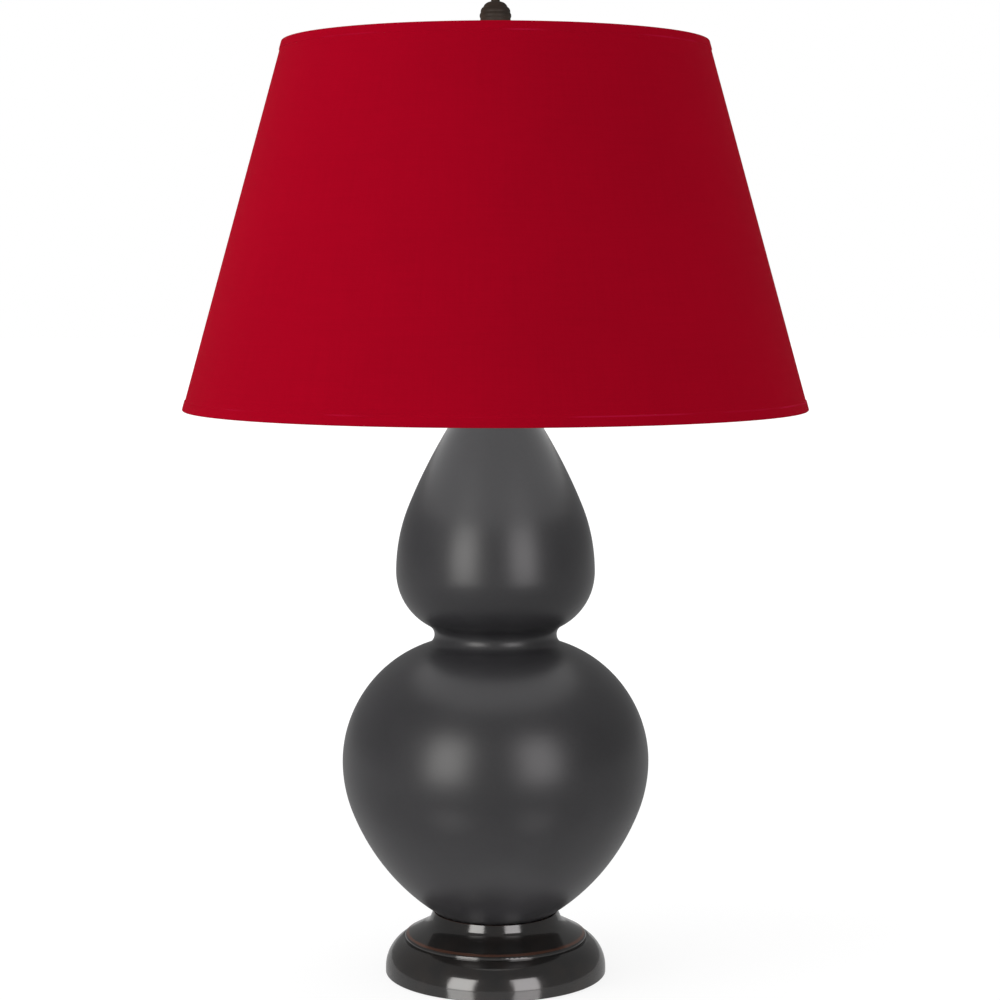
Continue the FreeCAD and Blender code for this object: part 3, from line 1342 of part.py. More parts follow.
def check(pieces):
    """Stops if an object failed, a cut or a boss changed nothing, or a piece isn't a sound solid."""
    for thing in DOC.Objects:
        if "Invalid" in thing.State or "Error" in thing.State:
            raise RuntimeError(f"{thing.Label} failed: {thing.State}")
        base = getattr(thing, "BaseFeature", None)
        if base is not None and hasattr(thing, "AddSubType") and thing.TypeId != "PartDesign::Body":
            change = thing.Shape.Volume - base.Shape.Volume
            if abs(change) < 1e-6 or (change < 0) != (thing.AddSubType == "Subtractive"):
                raise RuntimeError(f"{thing.Label} changed its body by {change} mm3")
    for piece in pieces:
        if piece.Shape.isNull() or not piece.Shape.isValid() or not piece.Shape.Solids:
            raise RuntimeError(f"{piece.Label} is not a sound solid")


def main():
    pieces = build()
    DOC.recompute()
    check(pieces)
    os.makedirs("parts", exist_ok=True)
    for piece in pieces:
        piece.Shape.exportStep(f"parts/{piece.Label}.step")
        box = piece.Shape.BoundBox
        print(f"{piece.Label}: {len(piece.Shape.Solids)} solid, {piece.Shape.Volume:.0f} mm3, "
              f"z {box.ZMin:.2f} to {box.ZMax:.2f}, radius {max(box.XMax, box.YMax):.2f}")


main()
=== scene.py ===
"""Double gourd table lamp: satin charcoal glaze, patinated metal base, tapered red shade.

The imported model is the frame. Each surface is worked out from its own formula, in metres, where
the model says, and rides on the body that carries it.
"""

import math
from typing import NamedTuple

import bpy
import numpy as np
from bpy.props import FloatProperty, FloatVectorProperty, IntProperty, PointerProperty
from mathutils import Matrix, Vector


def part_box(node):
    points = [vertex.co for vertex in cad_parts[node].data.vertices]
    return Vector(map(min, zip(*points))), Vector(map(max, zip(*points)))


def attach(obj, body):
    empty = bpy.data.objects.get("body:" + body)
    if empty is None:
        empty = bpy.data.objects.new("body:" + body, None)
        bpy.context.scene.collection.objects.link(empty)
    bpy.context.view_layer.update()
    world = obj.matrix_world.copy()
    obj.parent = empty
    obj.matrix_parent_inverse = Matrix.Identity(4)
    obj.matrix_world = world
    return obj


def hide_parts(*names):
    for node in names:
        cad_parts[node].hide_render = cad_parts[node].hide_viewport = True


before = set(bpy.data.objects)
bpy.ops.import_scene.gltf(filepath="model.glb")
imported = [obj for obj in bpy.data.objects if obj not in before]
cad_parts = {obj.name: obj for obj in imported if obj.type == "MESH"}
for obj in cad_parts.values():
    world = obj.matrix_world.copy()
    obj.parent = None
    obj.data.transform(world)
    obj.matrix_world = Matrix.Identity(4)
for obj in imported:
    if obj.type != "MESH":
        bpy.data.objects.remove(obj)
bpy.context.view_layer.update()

bl_info = {
    "name": "Double Gourd Lamp",
    "version": (1, 0, 0),
    "blender": (4, 5, 0),
    "location": "View3D > Sidebar > Lamp",
    "description": "Builds a double gourd table lamp and the studio round it",
    "category": "Add Mesh",
}

TURN = 2 * math.pi

# Rubbed edges of the cast metal: radius, height and width of the worn strip, in metres.
BASE_EDGES = ((0.0722, 0.0326, 0.0017), (0.0508, 0.0514, 0.0005))
CAP_EDGES = ((0.0273, 0.4695, 0.0008), (0.008, 0.4862, 0.0008))
FINIAL_EDGES = ((0.0085, 0.7436, 0.0006), (0.0086, 0.7570, 0.0006))

# Tones that no user needs to change. A pair is the dark and the light of one fibre.
ALUMINIUM = (0.78, 0.78, 0.79)
RUBBER = (0.012, 0.012, 0.012)
IRON = (0.03, 0.03, 0.03)
FELT = ((0.006, 0.006, 0.006), (0.03, 0.03, 0.03))
BOARD = ((0.10, 0.06, 0.035), (0.2, 0.13, 0.08))
PAPER = ((0.42, 0.36, 0.26), (0.6, 0.53, 0.41))
WARMTH = (1.35, 1.2, 1.1)  # the patina's warm clouds, as shares of its tone
FOLD_HIGHLIGHT = (0.10, 0.006, 0.03)  # added to the fabric's tone as a painted highlight along a pressed fold

# The studio, in metres, with the foot of the lamp's axis at 0: places and sizes of the softboxes,
# the height that they face, and the radii between which the floor's two rounds fade.
LEFT_PLACE, RIGHT_PLACE = (-1.25, -1.75, 0.705), (1.10, -1.76, 0.705)
WASH_PLACE = (-2.4, -1.1, 1.3)
SOFTBOX_SIZE, WASH_SIZE = (1.02, 1.40), (1.8, 1.8)
AIM_HEIGHT = 0.42
BRIGHT_ROUND, POLISHED_ROUND = (0.14, 0.20), (0.25, 0.45)
FLOOR_RADIUS, FLOOR_DROP = 20.0, 0.0002

# Longest steps round small edges and along threaded walls, in metres.
SMALL_STEP, THREAD_STEP = 0.0003, 0.0002


# ---- sizes and colours

def length(name, default, description):
    """A length that a user may change, in metres."""
    return FloatProperty(name=name, default=default, description=description, unit="LENGTH",
                         precision=4, min=0.0)


def power(name, default, description):
    """A lamp's power that a user may change, in watts."""
    return FloatProperty(name=name, default=default, description=description, unit="POWER", min=0)


def level(name, default, description):
    """A strength of light that a user may change; 1 is white."""
    return FloatProperty(name=name, default=default, description=description, min=0, max=2)


def colour(name, default, description):
    """A surface colour that a user may change, in linear light."""
    return FloatVectorProperty(name=name, default=default, description=description,
                               subtype="COLOR", size=3, min=0.0, max=1.0)


class GourdSizes(bpy.types.PropertyGroup):
    """The gourd's outline, measured from its foot."""

    foot: length("Foot radius", 0.0473, "Radius of the foot")
    belly_join: length("Foot curve", 0.0845, "Height where the foot's curve meets the belly's")
    belly: length("Belly radius", 0.1246, "Largest radius of the belly")
    belly_height: length("Belly height", 0.1257, "Height of the belly's largest radius")
    belly_arc: length("Belly curve", 0.1117, "Radius of the belly's curve below that height")
    waist: length("Waist radius", 0.0496, "Radius of the waist")
    waist_height: length("Waist height", 0.2294, "Height of the waist")
    waist_arc: length("Waist curve", 0.0090, "Radius of the waist's hollow curve")
    crown: length("Crown radius", 0.0807, "Largest radius of the upper bulb")
    crown_height: length("Crown height", 0.2810, "Height of that radius")
    crown_arc: length("Crown curve", 0.1406, "Radius of the upper bulb's curve above that height")
    crown_join: length("Neck curve", 0.3337, "Height where that curve meets the neck's")
    mouth: length("Mouth radius", 0.0256, "Outer radius of the mouth")
    height: length("Height", 0.4178, "Height of the gourd")
    wall: length("Wall", 0.0060, "Wall of the gourd")


class ShadeSizes(bpy.types.PropertyGroup):
    """The shade, measured from its lower edge."""

    bottom: length("Lower radius", 0.2510, "Outer radius at the lower edge")
    top: length("Upper radius", 0.1697, "Outer radius at the upper edge")
    height: length("Height", 0.2913, "Height of the shade")
    cloth: length("Fabric", 0.0008, "Thickness of the fabric")
    liner: length("Liner", 0.0012, "Thickness of the liner")
    trim: length("Trim", 0.0006, "Thickness of the trims")
    trim_width: length("Trim width", 0.0066, "Width of a trim, folded round its ring")
    lower_trim: length("Lower trim", 0.0080, "Height of the lower trim")
    upper_trim: length("Upper trim", 0.0070, "Height of the upper trim")
    inner_trim: length("Inner trim", 0.0050, "Height of the trims' inner leaf")
    seam: length("Seam", 0.0120, "Width of the lapped seam at the back")
    thread: length("Thread", 0.00045, "Distance between threads of the fabric")


class FittingSizes(bpy.types.PropertyGroup):
    """The turned and threaded fittings, each measured from its own foot."""

    bore: length("Finial bore", 0.0032, "Radius of the finial's hole")
    bore_depth: length("Finial bore depth", 0.0160, "Depth of that hole")
    flange: length("Finial foot", 0.0085, "Radius of the finial's foot")
    flange_height: length("Finial foot height", 0.0026, "Height of the finial's foot")
    stem: length("Finial stem", 0.0052, "Radius of the finial's stem")
    collar: length("Finial collar", 0.0086, "Radius of the collar under the ball")
    collar_height: length("Collar height", 0.0150, "Height of the collar's edge")
    ball: length("Ball radius", 0.0125, "Radius of the finial's ball")
    ball_height: length("Ball height", 0.0322, "Height of the ball's centre")
    tier: length("Tier pitch", 0.0047, "Height of a tier on the ball")
    tier_start: length("Tier start", 0.0029, "Height of a groove above the ball's centre")
    tier_depth: length("Tier depth", 0.00045, "Depth of the grooves between tiers")
    button: length("Button radius", 0.0035, "Radius of the button on the ball")
    seat: length("Swivel seat", 0.0100, "Radius of the swivel's seat disc")
    seat_thickness: length("Seat thickness", 0.0018, "Thickness of the seat disc")
    rivet: length("Rivet radius", 0.0042, "Radius of the riveted head")
    rivet_height: length("Rivet height", 0.0016, "Height of the riveted head")
    shank: length("Shank radius", 0.0025, "Radius of the shank in the harp's eye")
    stud: length("Stud radius", 0.0031, "Radius of the threaded stud")
    stud_length: length("Stud length", 0.0160, "Length of the stud above its seat")
    stud_pitch: length("Stud pitch", 0.00094, "Pitch of the stud's thread")
    cap: length("Bulb cap radius", 0.0131, "Radius of the bulb's screw cap")
    cap_wall: length("Cap wall", 0.0004, "Sheet of the screw cap and the screw shell")
    cap_pitch: length("Cap pitch", 0.00363, "Pitch of the cap's rolled thread")
    cap_thread: length("Cap thread", 0.0008, "Depth of the cap's rolled thread")
    shell_gap: length("Shell gap", 0.0004, "Gap between screw cap and screw shell")


class LampColours(bpy.types.PropertyGroup):
    """Colours of the finishes."""

    glaze: colour("Glaze", (0.0282, 0.0273, 0.0296), "Satin charcoal glaze")
    patina: colour("Patina", (0.0125, 0.0115, 0.0112), "Dark patina on the metal")
    bronze: colour("Bronze", (0.033, 0.0215, 0.015), "Brown patina on the finial")
    copper: colour("Copper", (0.20, 0.093, 0.064), "Copper where the patina is worn through")
    cloth: colour("Fabric", (0.352, 0.0004, 0.0116), "Red fabric of the shade")
    brass: colour("Brass", (0.66, 0.47, 0.22), "Plated brass fittings")
    steel: colour("Steel", (0.52, 0.52, 0.53), "Zinc-plated steel")
    liner: colour("Liner", (0.80, 0.78, 0.73), "White liner inside the shade")
    moulding: colour("Moulding", (0.012, 0.011, 0.011), "Black moulded fittings")


class StudioSettings(bpy.types.PropertyGroup):
    """Camera, lamps and floor."""

    distance: length("Camera distance", 1.9466, "Distance from the lamp's axis to the camera")
    height: length("Camera height", 0.57045, "Height of the camera")
    offset: length("Camera offset", 0.0036, "How far the camera stands to the right")
    lens: FloatProperty(name="Lens", default=87.0156, min=10, max=300, unit="CAMERA",
                        description="Focal length of the camera")
    tilt: FloatProperty(name="Tilt", default=math.radians(90) - 0.0930, subtype="ANGLE",
                        description="Tilt of the camera from straight down")
    left_power: power("Left softbox", 28.5, "Power of the softbox at the front left")
    right_power: power("Right softbox", 21.5, "Power of the softbox at the front right")
    glow_power: power("Shade glow", 0.69, "Power of the light that the shade's inside sends down")
    wash_power: power("Wash", 28.0, "Power of the broad light from the left")
    fill: level("Fill", 0.82, "Light from all round the studio on matt surfaces")
    gleam: level("Gleam", 0.27, "Light from all round the studio in glossy surfaces")
    rings: IntProperty(name="Segments", default=256, min=64, max=512,
                       description="Steps round the largest turned pieces")


GROUPS = {"lamp_gourd": GourdSizes, "lamp_shade": ShadeSizes, "lamp_fittings": FittingSizes,
          "lamp_colours": LampColours, "lamp_studio": StudioSettings}


# ---- surfaces

class Surface(NamedTuple):
    """Points, faces of four and of three points, and the faces' places on the unrolled surface."""

    points: np.ndarray
    quads: np.ndarray
    triangles: np.ndarray
    quad_uv: np.ndarray
    triangle_uv: np.ndarray


def arc(centre, radius, start, end, pitch):
    """Points centre + radius (cos a, sin a) for angles a from start to end, a pitch apart."""
    count = max(3, int(abs(end - start) * radius / pitch) + 2)
    a = np.linspace(start, end, count)
    return np.stack([centre[0] + radius * np.cos(a), centre[1] + radius * np.sin(a)], 1)


def leaving_arc(start, heading, end, pitch):
    """The arc that leaves start along heading and ends at end: its centre is on the normal, as far
    as chord squared over twice the chord's share along that normal."""
    normal = np.array([-heading[1], heading[0]])
    chord = end - start
    signed = chord @ chord / (2 * (chord @ normal))
    centre = start + normal * signed
    first = math.atan2(*(start - centre)[::-1])
    last = math.atan2(*(end - centre)[::-1])
    if signed > 0 and last < first:
        last += TURN
    if signed < 0 and last > first:
        last -= TURN
    return arc(centre, abs(signed), first, last, pitch)


def rounded(corners, pitch, closed=True):
    """An outline through corners (x, y, radius): straight runs joined by tangent arcs.

    An arc starts and ends radius * tan(turn / 2) from its corner, on the two runs."""
    points = np.array([c[:2] for c in corners], float)
    radii = [c[2] if len(c) > 2 else 0.0 for c in corners]
    parts = []
    for i, (point, radius) in enumerate(zip(points, radii)):
        if radius == 0 or (not closed and i in (0, len(points) - 1)):
            parts.append(point[None])
            continue
        before = point - points[i - 1]
        after = points[(i + 1) % len(points)] - point
        before, after = before / np.hypot(*before), after / np.hypot(*after)
        turn = math.atan2(before[0] * after[1] - before[1] * after[0], before @ after)
        trim = radius * math.tan(abs(turn) / 2)
        parts.append(leaving_arc(point - before * trim, before, point + after * trim, pitch))
    return np.concatenate(parts)


def filled(outline, pitch, closed=True):
    """The outline with points added along its long runs, so none is longer than pitch."""
    ends = np.roll(outline, -1, 0) if closed else outline[1:]
    starts = outline if closed else outline[:-1]
    counts = np.maximum(1, np.ceil(np.hypot(*(ends - starts).T) / pitch)).astype(int)
    share = np.concatenate([np.arange(n) / n for n in counts])
    starts, ends = np.repeat(starts, counts, 0), np.repeat(ends, counts, 0)
    points = starts + (ends - starts) * share[:, None]
    return points if closed else np.concatenate([points, outline[-1:]])


def grid_surface(points, closed, run, reach):
    """Joins a grid of points, rows by columns, into faces of four. The columns close, and the rows
    may. run and reach are the lengths down the rows and round the columns that place each corner
    on the unrolled surface."""
    rows, columns = points.shape[:2]
    index = np.arange(rows * columns).reshape(rows, columns)
    i = np.arange(rows if closed else rows - 1)[:, None]
    j = np.arange(columns)[None]
    i_next, j_next = (i + 1) % rows, (j + 1) % columns
    quads = np.stack([index[i, j], index[i, j_next], index[i_next, j_next], index[i_next, j]], -1)
    u = np.broadcast_to(reach, (rows + 1, columns + 1))
    v = np.broadcast_to(run[:, None], (rows + 1, columns + 1))
    uv = np.stack([u, v], -1)
    corner_uv = np.stack([uv[i, j], uv[i, j + 1], uv[i + 1, j + 1], uv[i + 1, j]], -2)
    return Surface(points.reshape(-1, 3), quads.reshape(-1, 4), np.empty((0, 3), int),
                   corner_uv.reshape(-1, 4, 2), np.empty((0, 3, 2)))


def turned(outline, segments, wave=None, lift=None, closed=True):
    """Turns an outline about Z: radius r and height z at angle a give (r cos a, r sin a, z).

    The outline goes up the outside and down the inside. Points on the axis become one point each.
    wave(a, r, z) may add to the radius, and lift(a, r, z) to the height."""
    a = np.arange(segments) * TURN / segments
    r, z = outline[:, 0][:, None], outline[:, 1][:, None]
    if wave is not None:
        r, z = r + wave(a[None], r, z), z + (0 if lift is None else lift(a[None], r, z))
    r = np.broadcast_to(r, (len(outline), segments))
    z = np.broadcast_to(z, r.shape)
    points = np.stack([r * np.cos(a), r * np.sin(a), z], -1)
    steps = np.hypot(*(np.roll(outline, -1, 0) - outline).T)
    run = np.concatenate([[0], np.cumsum(steps)])
    reach = np.arange(segments + 1) * TURN * outline[:, 0].max() / segments
    return close_poles(grid_surface(points, closed, run, reach), outline, segments)


def thread_share(z, pitch, low, high):
    """1 along a thread, falling to 0 over one pitch at each end."""
    return np.clip((z - low) / pitch, 0, 1) * np.clip((high - z) / pitch, 0, 1)


def thread(pitch, depth, low, high):
    """A rolled screw thread from height low to high: along the helix, where height over pitch less
    angle over a turn is whole, the radius is unchanged; between, it is less by up to the depth."""
    def wave(a, r, z):
        groove = 0.5 - 0.5 * np.cos(TURN * z / pitch - a)
        return -depth * groove * thread_share(z, pitch, low, high)
    return wave


def cup(radius, wall, hole, low, high, bend):
    """The outline of a cup of sheet with a hole in its floor, bent round its outer edge."""
    inner, floor = radius - wall, low + wall
    return rounded([(hole, low), (radius, low, bend), (radius, high), (inner, high),
                    (inner, floor, bend - 0.0003), (hole, floor)], THREAD_STEP)


def close_poles(surface, outline, segments):
    """Joins each row that lies on the axis into one point, and drops the faces that vanish."""
    on_axis = np.abs(outline[:, 0]) < 1e-9
    if not on_axis.any():
        return surface
    row = np.arange(len(surface.points)) // segments
    pole = on_axis[row]
    target = np.where(pole, row * segments, np.arange(len(surface.points)))
    quads = target[surface.quads]
    low, high = quads[:, 0] == quads[:, 1], quads[:, 2] == quads[:, 3]
    keep = ~(low | high)
    low, high = low & ~high, high & ~low
    triangles = np.concatenate([quads[low][:, [0, 2, 3]], quads[high][:, [0, 1, 2]]])
    triangle_uv = np.concatenate([surface.quad_uv[low][:, [0, 2, 3]],
                                  surface.quad_uv[high][:, [0, 1, 2]]])
    used, compact = np.unique(np.concatenate([quads[keep].ravel(), triangles.ravel()]),
                              return_inverse=True)
    split = keep.sum() * 4
    return Surface(surface.points[used], compact[:split].reshape(-1, 4),
                   compact[split:].reshape(-1, 3), surface.quad_uv[keep], triangle_uv)


def raised(surface, height):
    """The surface moved up."""
    return surface._replace(points=surface.points + (0.0, 0.0, height))


def linked(name, data):
    """A new object in the scene."""
    made = bpy.data.objects.new(name, data)
    bpy.context.scene.collection.objects.link(made)
    return made


def mesh_of(name, surface, material):
    """The surface as a mesh, with its places on the unrolled surface as UVs."""
    mesh = bpy.data.meshes.new(name)
    faces = surface.quads.tolist() + surface.triangles.tolist()
    mesh.from_pydata(surface.points.tolist(), [], faces)
    uv = np.concatenate([surface.quad_uv.reshape(-1, 2), surface.triangle_uv.reshape(-1, 2)])
    mesh.uv_layers.new(name="Unrolled").data.foreach_set("uv", uv.astype(np.float32).ravel())
    mesh.validate()
    mesh.materials.append(material)
    return mesh


def piece(name, surface, material, body, node, crease):
    """Puts the surface into a mesh object that rides on a body and stands for a CAD node.

    The shade's own pieces neither shadow the gourd nor show in its glaze."""
    mesh = mesh_of(name, surface, material)
    mesh.shade_smooth()
    mesh.set_sharp_from_angle(angle=math.radians(crease))
    made = linked(name, mesh)
    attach(made, body)
    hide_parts(node)
    if body == "shade":
        made.visible_shadow = made.visible_glossy = made.visible_diffuse = False
    return made


def dress(material, *nodes):
    """Gives CAD nodes a finish; their shapes stay."""
    for node in nodes:
        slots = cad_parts[node].data.materials
        slots.clear()
        slots.append(material)


# ---- finishes

def operator_pair(operation):
    """An operator's method and its reflected form, which puts the value second."""
    def plain(value, other):
        return value.math(operation, other)

    def reflected(value, other):
        return value.finish.math(operation, other, value)

    return plain, reflected


class Value:
    """A value in a material; arithmetic on it adds Math nodes."""

    def __init__(self, finish, socket):
        self.finish, self.socket = finish, socket

    def math(self, operation, *others):
        """A Math node with this value first."""
        return self.finish.math(operation, self, *others)

    __add__, __radd__ = operator_pair("ADD")
    __sub__, __rsub__ = operator_pair("SUBTRACT")
    __mul__, __rmul__ = operator_pair("MULTIPLY")
    __truediv__, __rtruediv__ = operator_pair("DIVIDE")

    def __abs__(self):
        return self.math("ABSOLUTE")

    def sin(self):
        return self.math("SINE")

    def root(self):
        return self.math("SQRT")

    def least(self, other):
        return self.math("MINIMUM", other)

    def most(self, other):
        return self.math("MAXIMUM", other)

    def over(self, low, high):
        """0 at low, 1 at high, smooth between."""
        return self.finish.add("ShaderNodeMapRange", {"interpolation_type": "SMOOTHSTEP"},
                               {"Value": self, "From Min": low, "From Max": high})


class Finish:
    """A material, or the world's light, under construction."""

    def __init__(self, name, kind="materials"):
        self.made = getattr(bpy.data, kind).new(name)
        self.made.use_nodes = True
        self.tree = self.made.node_tree
        self.tree.nodes.clear()

    def add(self, kind, settings=None, inputs=None, output=0):
        """A node with its settings, then its inputs; the Value is the wanted output's."""
        node = self.tree.nodes.new(kind)
        for key, value in (settings or {}).items():
            setattr(node, key, value)
        for key, value in (inputs or {}).items():
            socket = self.named(node.inputs, key)
            if isinstance(value, Value):
                self.tree.links.new(value.socket, socket)
            elif hasattr(value, "__len__") and len(value) == 3 and socket.type == "RGBA":
                socket.default_value = (*value, 1.0)
            else:
                socket.default_value = value
        return Value(self, self.named(node.outputs, output)) if node.outputs else None

    @staticmethod
    def named(sockets, key):
        """The socket of that number, identifier or name."""
        if isinstance(key, int):
            return sockets[key]
        return next(s for s in sockets if key in (s.identifier, s.name))

    def math(self, operation, *values):
        """A Math node on values or numbers."""
        return self.add("ShaderNodeMath", {"operation": operation}, dict(enumerate(values)))

    def place(self):
        """The point on the piece, in metres."""
        return self.add("ShaderNodeTexCoord", output="Object")

    def unrolled(self):
        """The point on the piece's unrolled surface, in metres."""
        return self.add("ShaderNodeUVMap", {"uv_map": "Unrolled"})

    def parts(self, vector):
        """The vector's three values."""
        split = self.add("ShaderNodeSeparateXYZ", None, {"Vector": vector}).socket.node
        return [Value(self, socket) for socket in split.outputs]

    def radius(self, vector):
        """Distance from the lamp's axis."""
        x, y, _ = self.parts(vector)
        return (x * x + y * y).root()

    def stretched(self, vector, x, y, z):
        """The vector with each of its values times a number."""
        return self.add("ShaderNodeVectorMath", {"operation": "MULTIPLY"},
                        {0: vector, 1: (x, y, z)})

    def noise(self, vector, scale, detail=2.0, roughness=0.5):
        """Smooth noise from 0 to 1; scale is in cycles per metre."""
        return self.add("ShaderNodeTexNoise", None,
                        {"Vector": vector, "Scale": scale, "Detail": detail,
                         "Roughness": roughness}, output="Fac")

    def blend(self, factor, first, second):
        """first where the factor is 0, second where it is 1."""
        return self.add("ShaderNodeMix", {"data_type": "RGBA"},
                        {"Factor_Float": factor, "A_Color": first, "B_Color": second},
                        output="Result_Color")

    def bump(self, height, distance):
        """Normals bent by a height from 0 to 1 that stands for a distance in metres."""
        return self.add("ShaderNodeBump", None,
                        {"Height": height, "Distance": distance, "Strength": 1.0})

    def rays(self):
        """For each kind of ray, 1 where such a ray asks, by the Light Path node's names."""
        outputs = self.add("ShaderNodeLightPath").socket.node.outputs
        return {socket.name: Value(self, socket) for socket in outputs}

    def finished(self, **inputs):
        """Closes the material with one Principled shader."""
        odd = {"ior": "IOR", "specular_level": "Specular IOR Level"}
        sockets = {odd.get(key, key.replace("_", " ").title()): value
                   for key, value in inputs.items()}
        shader = self.add("ShaderNodeBsdfPrincipled", None, sockets)
        self.add("ShaderNodeOutputMaterial", None, {"Surface": shader})
        return self.made


def tint(tone, factor):
    """The tone made lighter or darker."""
    return tuple(min(1.0, c * factor) for c in tone)


def glaze_finish(tone):
    """Satin glaze over thrown clay: faint turning rings, slow drifts of tone, fine pinholes."""
    f = Finish("satin charcoal glaze")
    place = f.place()
    drift = f.noise(place, 14, 3)
    mottle = f.noise(place, 420, 3, 0.6)
    rings = f.noise(f.stretched(place, 2, 2, 190), 1.0, 2)
    pits = f.noise(place, 2600, 1).over(0.70, 0.78)
    shade = (drift * 0.7 + mottle * 0.3).over(0.3, 0.72)
    base = f.blend(shade, tint(tone, 0.90), tint(tone, 1.12))
    base = f.blend(pits * 0.35, base, tint(tone, 0.55))
    height = rings * 0.55 + mottle * 0.10 + drift * 0.3 - pits * 0.12
    return f.finished(base_color=base, roughness=0.33 + 0.06 * mottle + 0.05 * pits,
                      specular_level=0.42, normal=f.bump(height, 0.00006))


def worn_edges(f, place, edges):
    """1 on each turned edge (radius, height, width), fading unevenly away from it."""
    _, _, z = f.parts(place)
    r = f.radius(place)
    patches = f.noise(place, 55, 3)
    fine = f.noise(place, 900, 2)
    total = None
    for radius, height, width in edges:
        gap = ((r - radius) * (r - radius) + (z - height) * (z - height)).root()
        reach = width * (0.35 + 1.3 * patches)
        mark = 1 - (gap / reach).over(0.35, 1.0)
        total = mark if total is None else total.most(mark)
    return total * (0.55 + 0.75 * fine).least(1.0)


def patina_finish(name, tone, copper, edges, roughness=0.095, shine=1.0):
    """Dark waxed patina on cast metal, rubbed through to copper along the turned edges."""
    f = Finish(name)
    place = f.place()
    cloud = f.noise(place, 60, 4)
    grain = f.noise(place, 1300, 2)
    brushed = f.noise(f.stretched(place, 40, 40, 900), 1.0, 3)
    worn = worn_edges(f, place, edges)
    warm = tuple(c * k for c, k in zip(tone, WARMTH))
    dark = f.blend(cloud.over(0.3, 0.7), tint(tone, 0.85), warm)
    height = grain * 0.25 + brushed * 0.4 + cloud * 0.35
    return f.finished(base_color=f.blend(worn, dark, copper), metallic=0.20 + 0.55 * worn,
                      roughness=roughness + 0.07 * brushed + 0.10 * worn, specular_level=shine,
                      normal=f.bump(height, 0.00001))


def plated_finish(name, tone, roughness=0.24):
    """Drawn and plated metal: fine draw lines, faint tarnish in clouds."""
    f = Finish(name)
    place = f.place()
    cloud = f.noise(place, 90, 3)
    lines = f.noise(f.stretched(place, 500, 500, 3500), 1.0, 2)
    base = f.blend(cloud.over(0.35, 0.75), tone, tint(tone, 0.80))
    return f.finished(base_color=base, metallic=1.0, normal=f.bump(lines, 0.000012),
                      roughness=roughness + 0.12 * cloud + 0.08 * lines)


def threaded_finish(name, tone, pitch):
    """Plated metal with a screw thread in its relief: height follows z / pitch + angle / turn, and
    the tone is painted darker in the thread's grooves (painted shade).
    """
    f = Finish(name)
    place = f.place()
    x, y, z = f.parts(place)
    turn = y.math("ARCTAN2", x) / TURN
    phase = (z / pitch + turn) * TURN
    ridge = phase.sin() * 0.5 + 0.5
    cloud = f.noise(place, 120, 3)
    # Painted shade: the tone darkens towards the bottom of each groove of the thread.
    base = f.blend(ridge, tint(tone, 0.55), tone)
    return f.finished(base_color=base, metallic=1.0, roughness=0.30 + 0.12 * cloud,
                      normal=f.bump(ridge, pitch * 0.35))


def weave(pitch, across, along):
    """Plain weave: threads cross every pitch, each over one and under the next.

    Height is the larger of the two threads' rounded backs, |sin| of its own direction, raised
    where the product of the two sines says that it lies on top."""
    a = (across * (math.pi / pitch)).sin()
    b = (along * (math.pi / pitch)).sin()
    top = (a * b).over(-0.15, 0.15)
    return top * (1 - 0.5 * b * b) + (1 - top) * (1 - 0.5 * a * a), top


def cloth_finish(name, tone, pitch, folds=()):
    """Fine matt fabric: a plain weave with slubs along its threads and a soft bloom, its tone
    painted darker where the weave lies low (painted shade), and lighter in patches along its
    pressed folds (painted highlight), which lie at the given heights."""
    f = Finish(name)
    flat = f.unrolled()
    u, v, _ = f.parts(flat)
    height, top = weave(pitch, u, v)
    warp_slub = f.noise(f.stretched(flat, 1 / (3 * pitch), 14, 1), 1.0, 2)
    weft_slub = f.noise(f.stretched(flat, 14, 1 / (3 * pitch), 1), 1.0, 2)
    slub = top * warp_slub + (1 - top) * weft_slub
    bloom = f.noise(f.place(), 9, 3)
    # Painted shade: the weave's height is mixed into the tone, so the low places between threads
    # are darker.
    shade = (0.45 * slub + 0.25 * height + 0.3 * bloom).over(0.2, 0.85)
    base = f.blend(shade, tint(tone, 0.88), tint(tone, 1.10))
    if folds:
        _, _, z = f.parts(f.place())
        # Painted highlight: the fabric is lightened in patches along each pressed fold, as where
        # light catches it.
        rubbed = f.noise(f.stretched(f.place(), 11, 11, 0), 1.0, 2).over(0.46, 0.66)
        fold_highlight_tone = tuple(c + k for c, k in zip(tone, FOLD_HIGHLIGHT))
        for fold in folds:
            near = 1 - abs(z - fold).over(0.0004, 0.0010)
            base = f.blend(near * rubbed * 0.7, base, fold_highlight_tone)
    return f.finished(base_color=base, roughness=0.95, specular_level=0.02,
                      normal=f.bump(height + 0.4 * slub, pitch * 0.22))


def liner_finish(tone):
    """Styrene laminate behind the fabric: nearly white, with the fabric's ghost in its relief."""
    f = Finish("white styrene liner")
    place = f.place()
    cloud = f.noise(place, 12, 3)
    pebble = f.noise(place, 900, 2)
    base = f.blend(cloud, tint(tone, 0.96), tint(tone, 1.03))
    return f.finished(base_color=base, roughness=0.52 + 0.1 * pebble,
                      normal=f.bump(pebble, 0.00003))


def moulded_finish(name, tone, roughness):
    """Moulded phenolic: flow marks and a fine matt grain."""
    f = Finish(name)
    place = f.place()
    flow = f.noise(f.stretched(place, 60, 60, 200), 1.0, 4, 0.6)
    grain = f.noise(place, 2200, 1)
    base = f.blend(flow, tint(tone, 0.8), tint(tone, 1.6))
    return f.finished(base_color=base, roughness=roughness + 0.12 * grain,
                      normal=f.bump(grain, 0.00002))


def glass_finish():
    """Clear lamp glass."""
    f = Finish("clear glass")
    seed = f.noise(f.place(), 160, 2)
    return f.finished(base_color=(0.97, 0.98, 0.97), roughness=0.0, transmission_weight=1.0,
                      ior=1.45, normal=f.bump(seed, 0.00002))


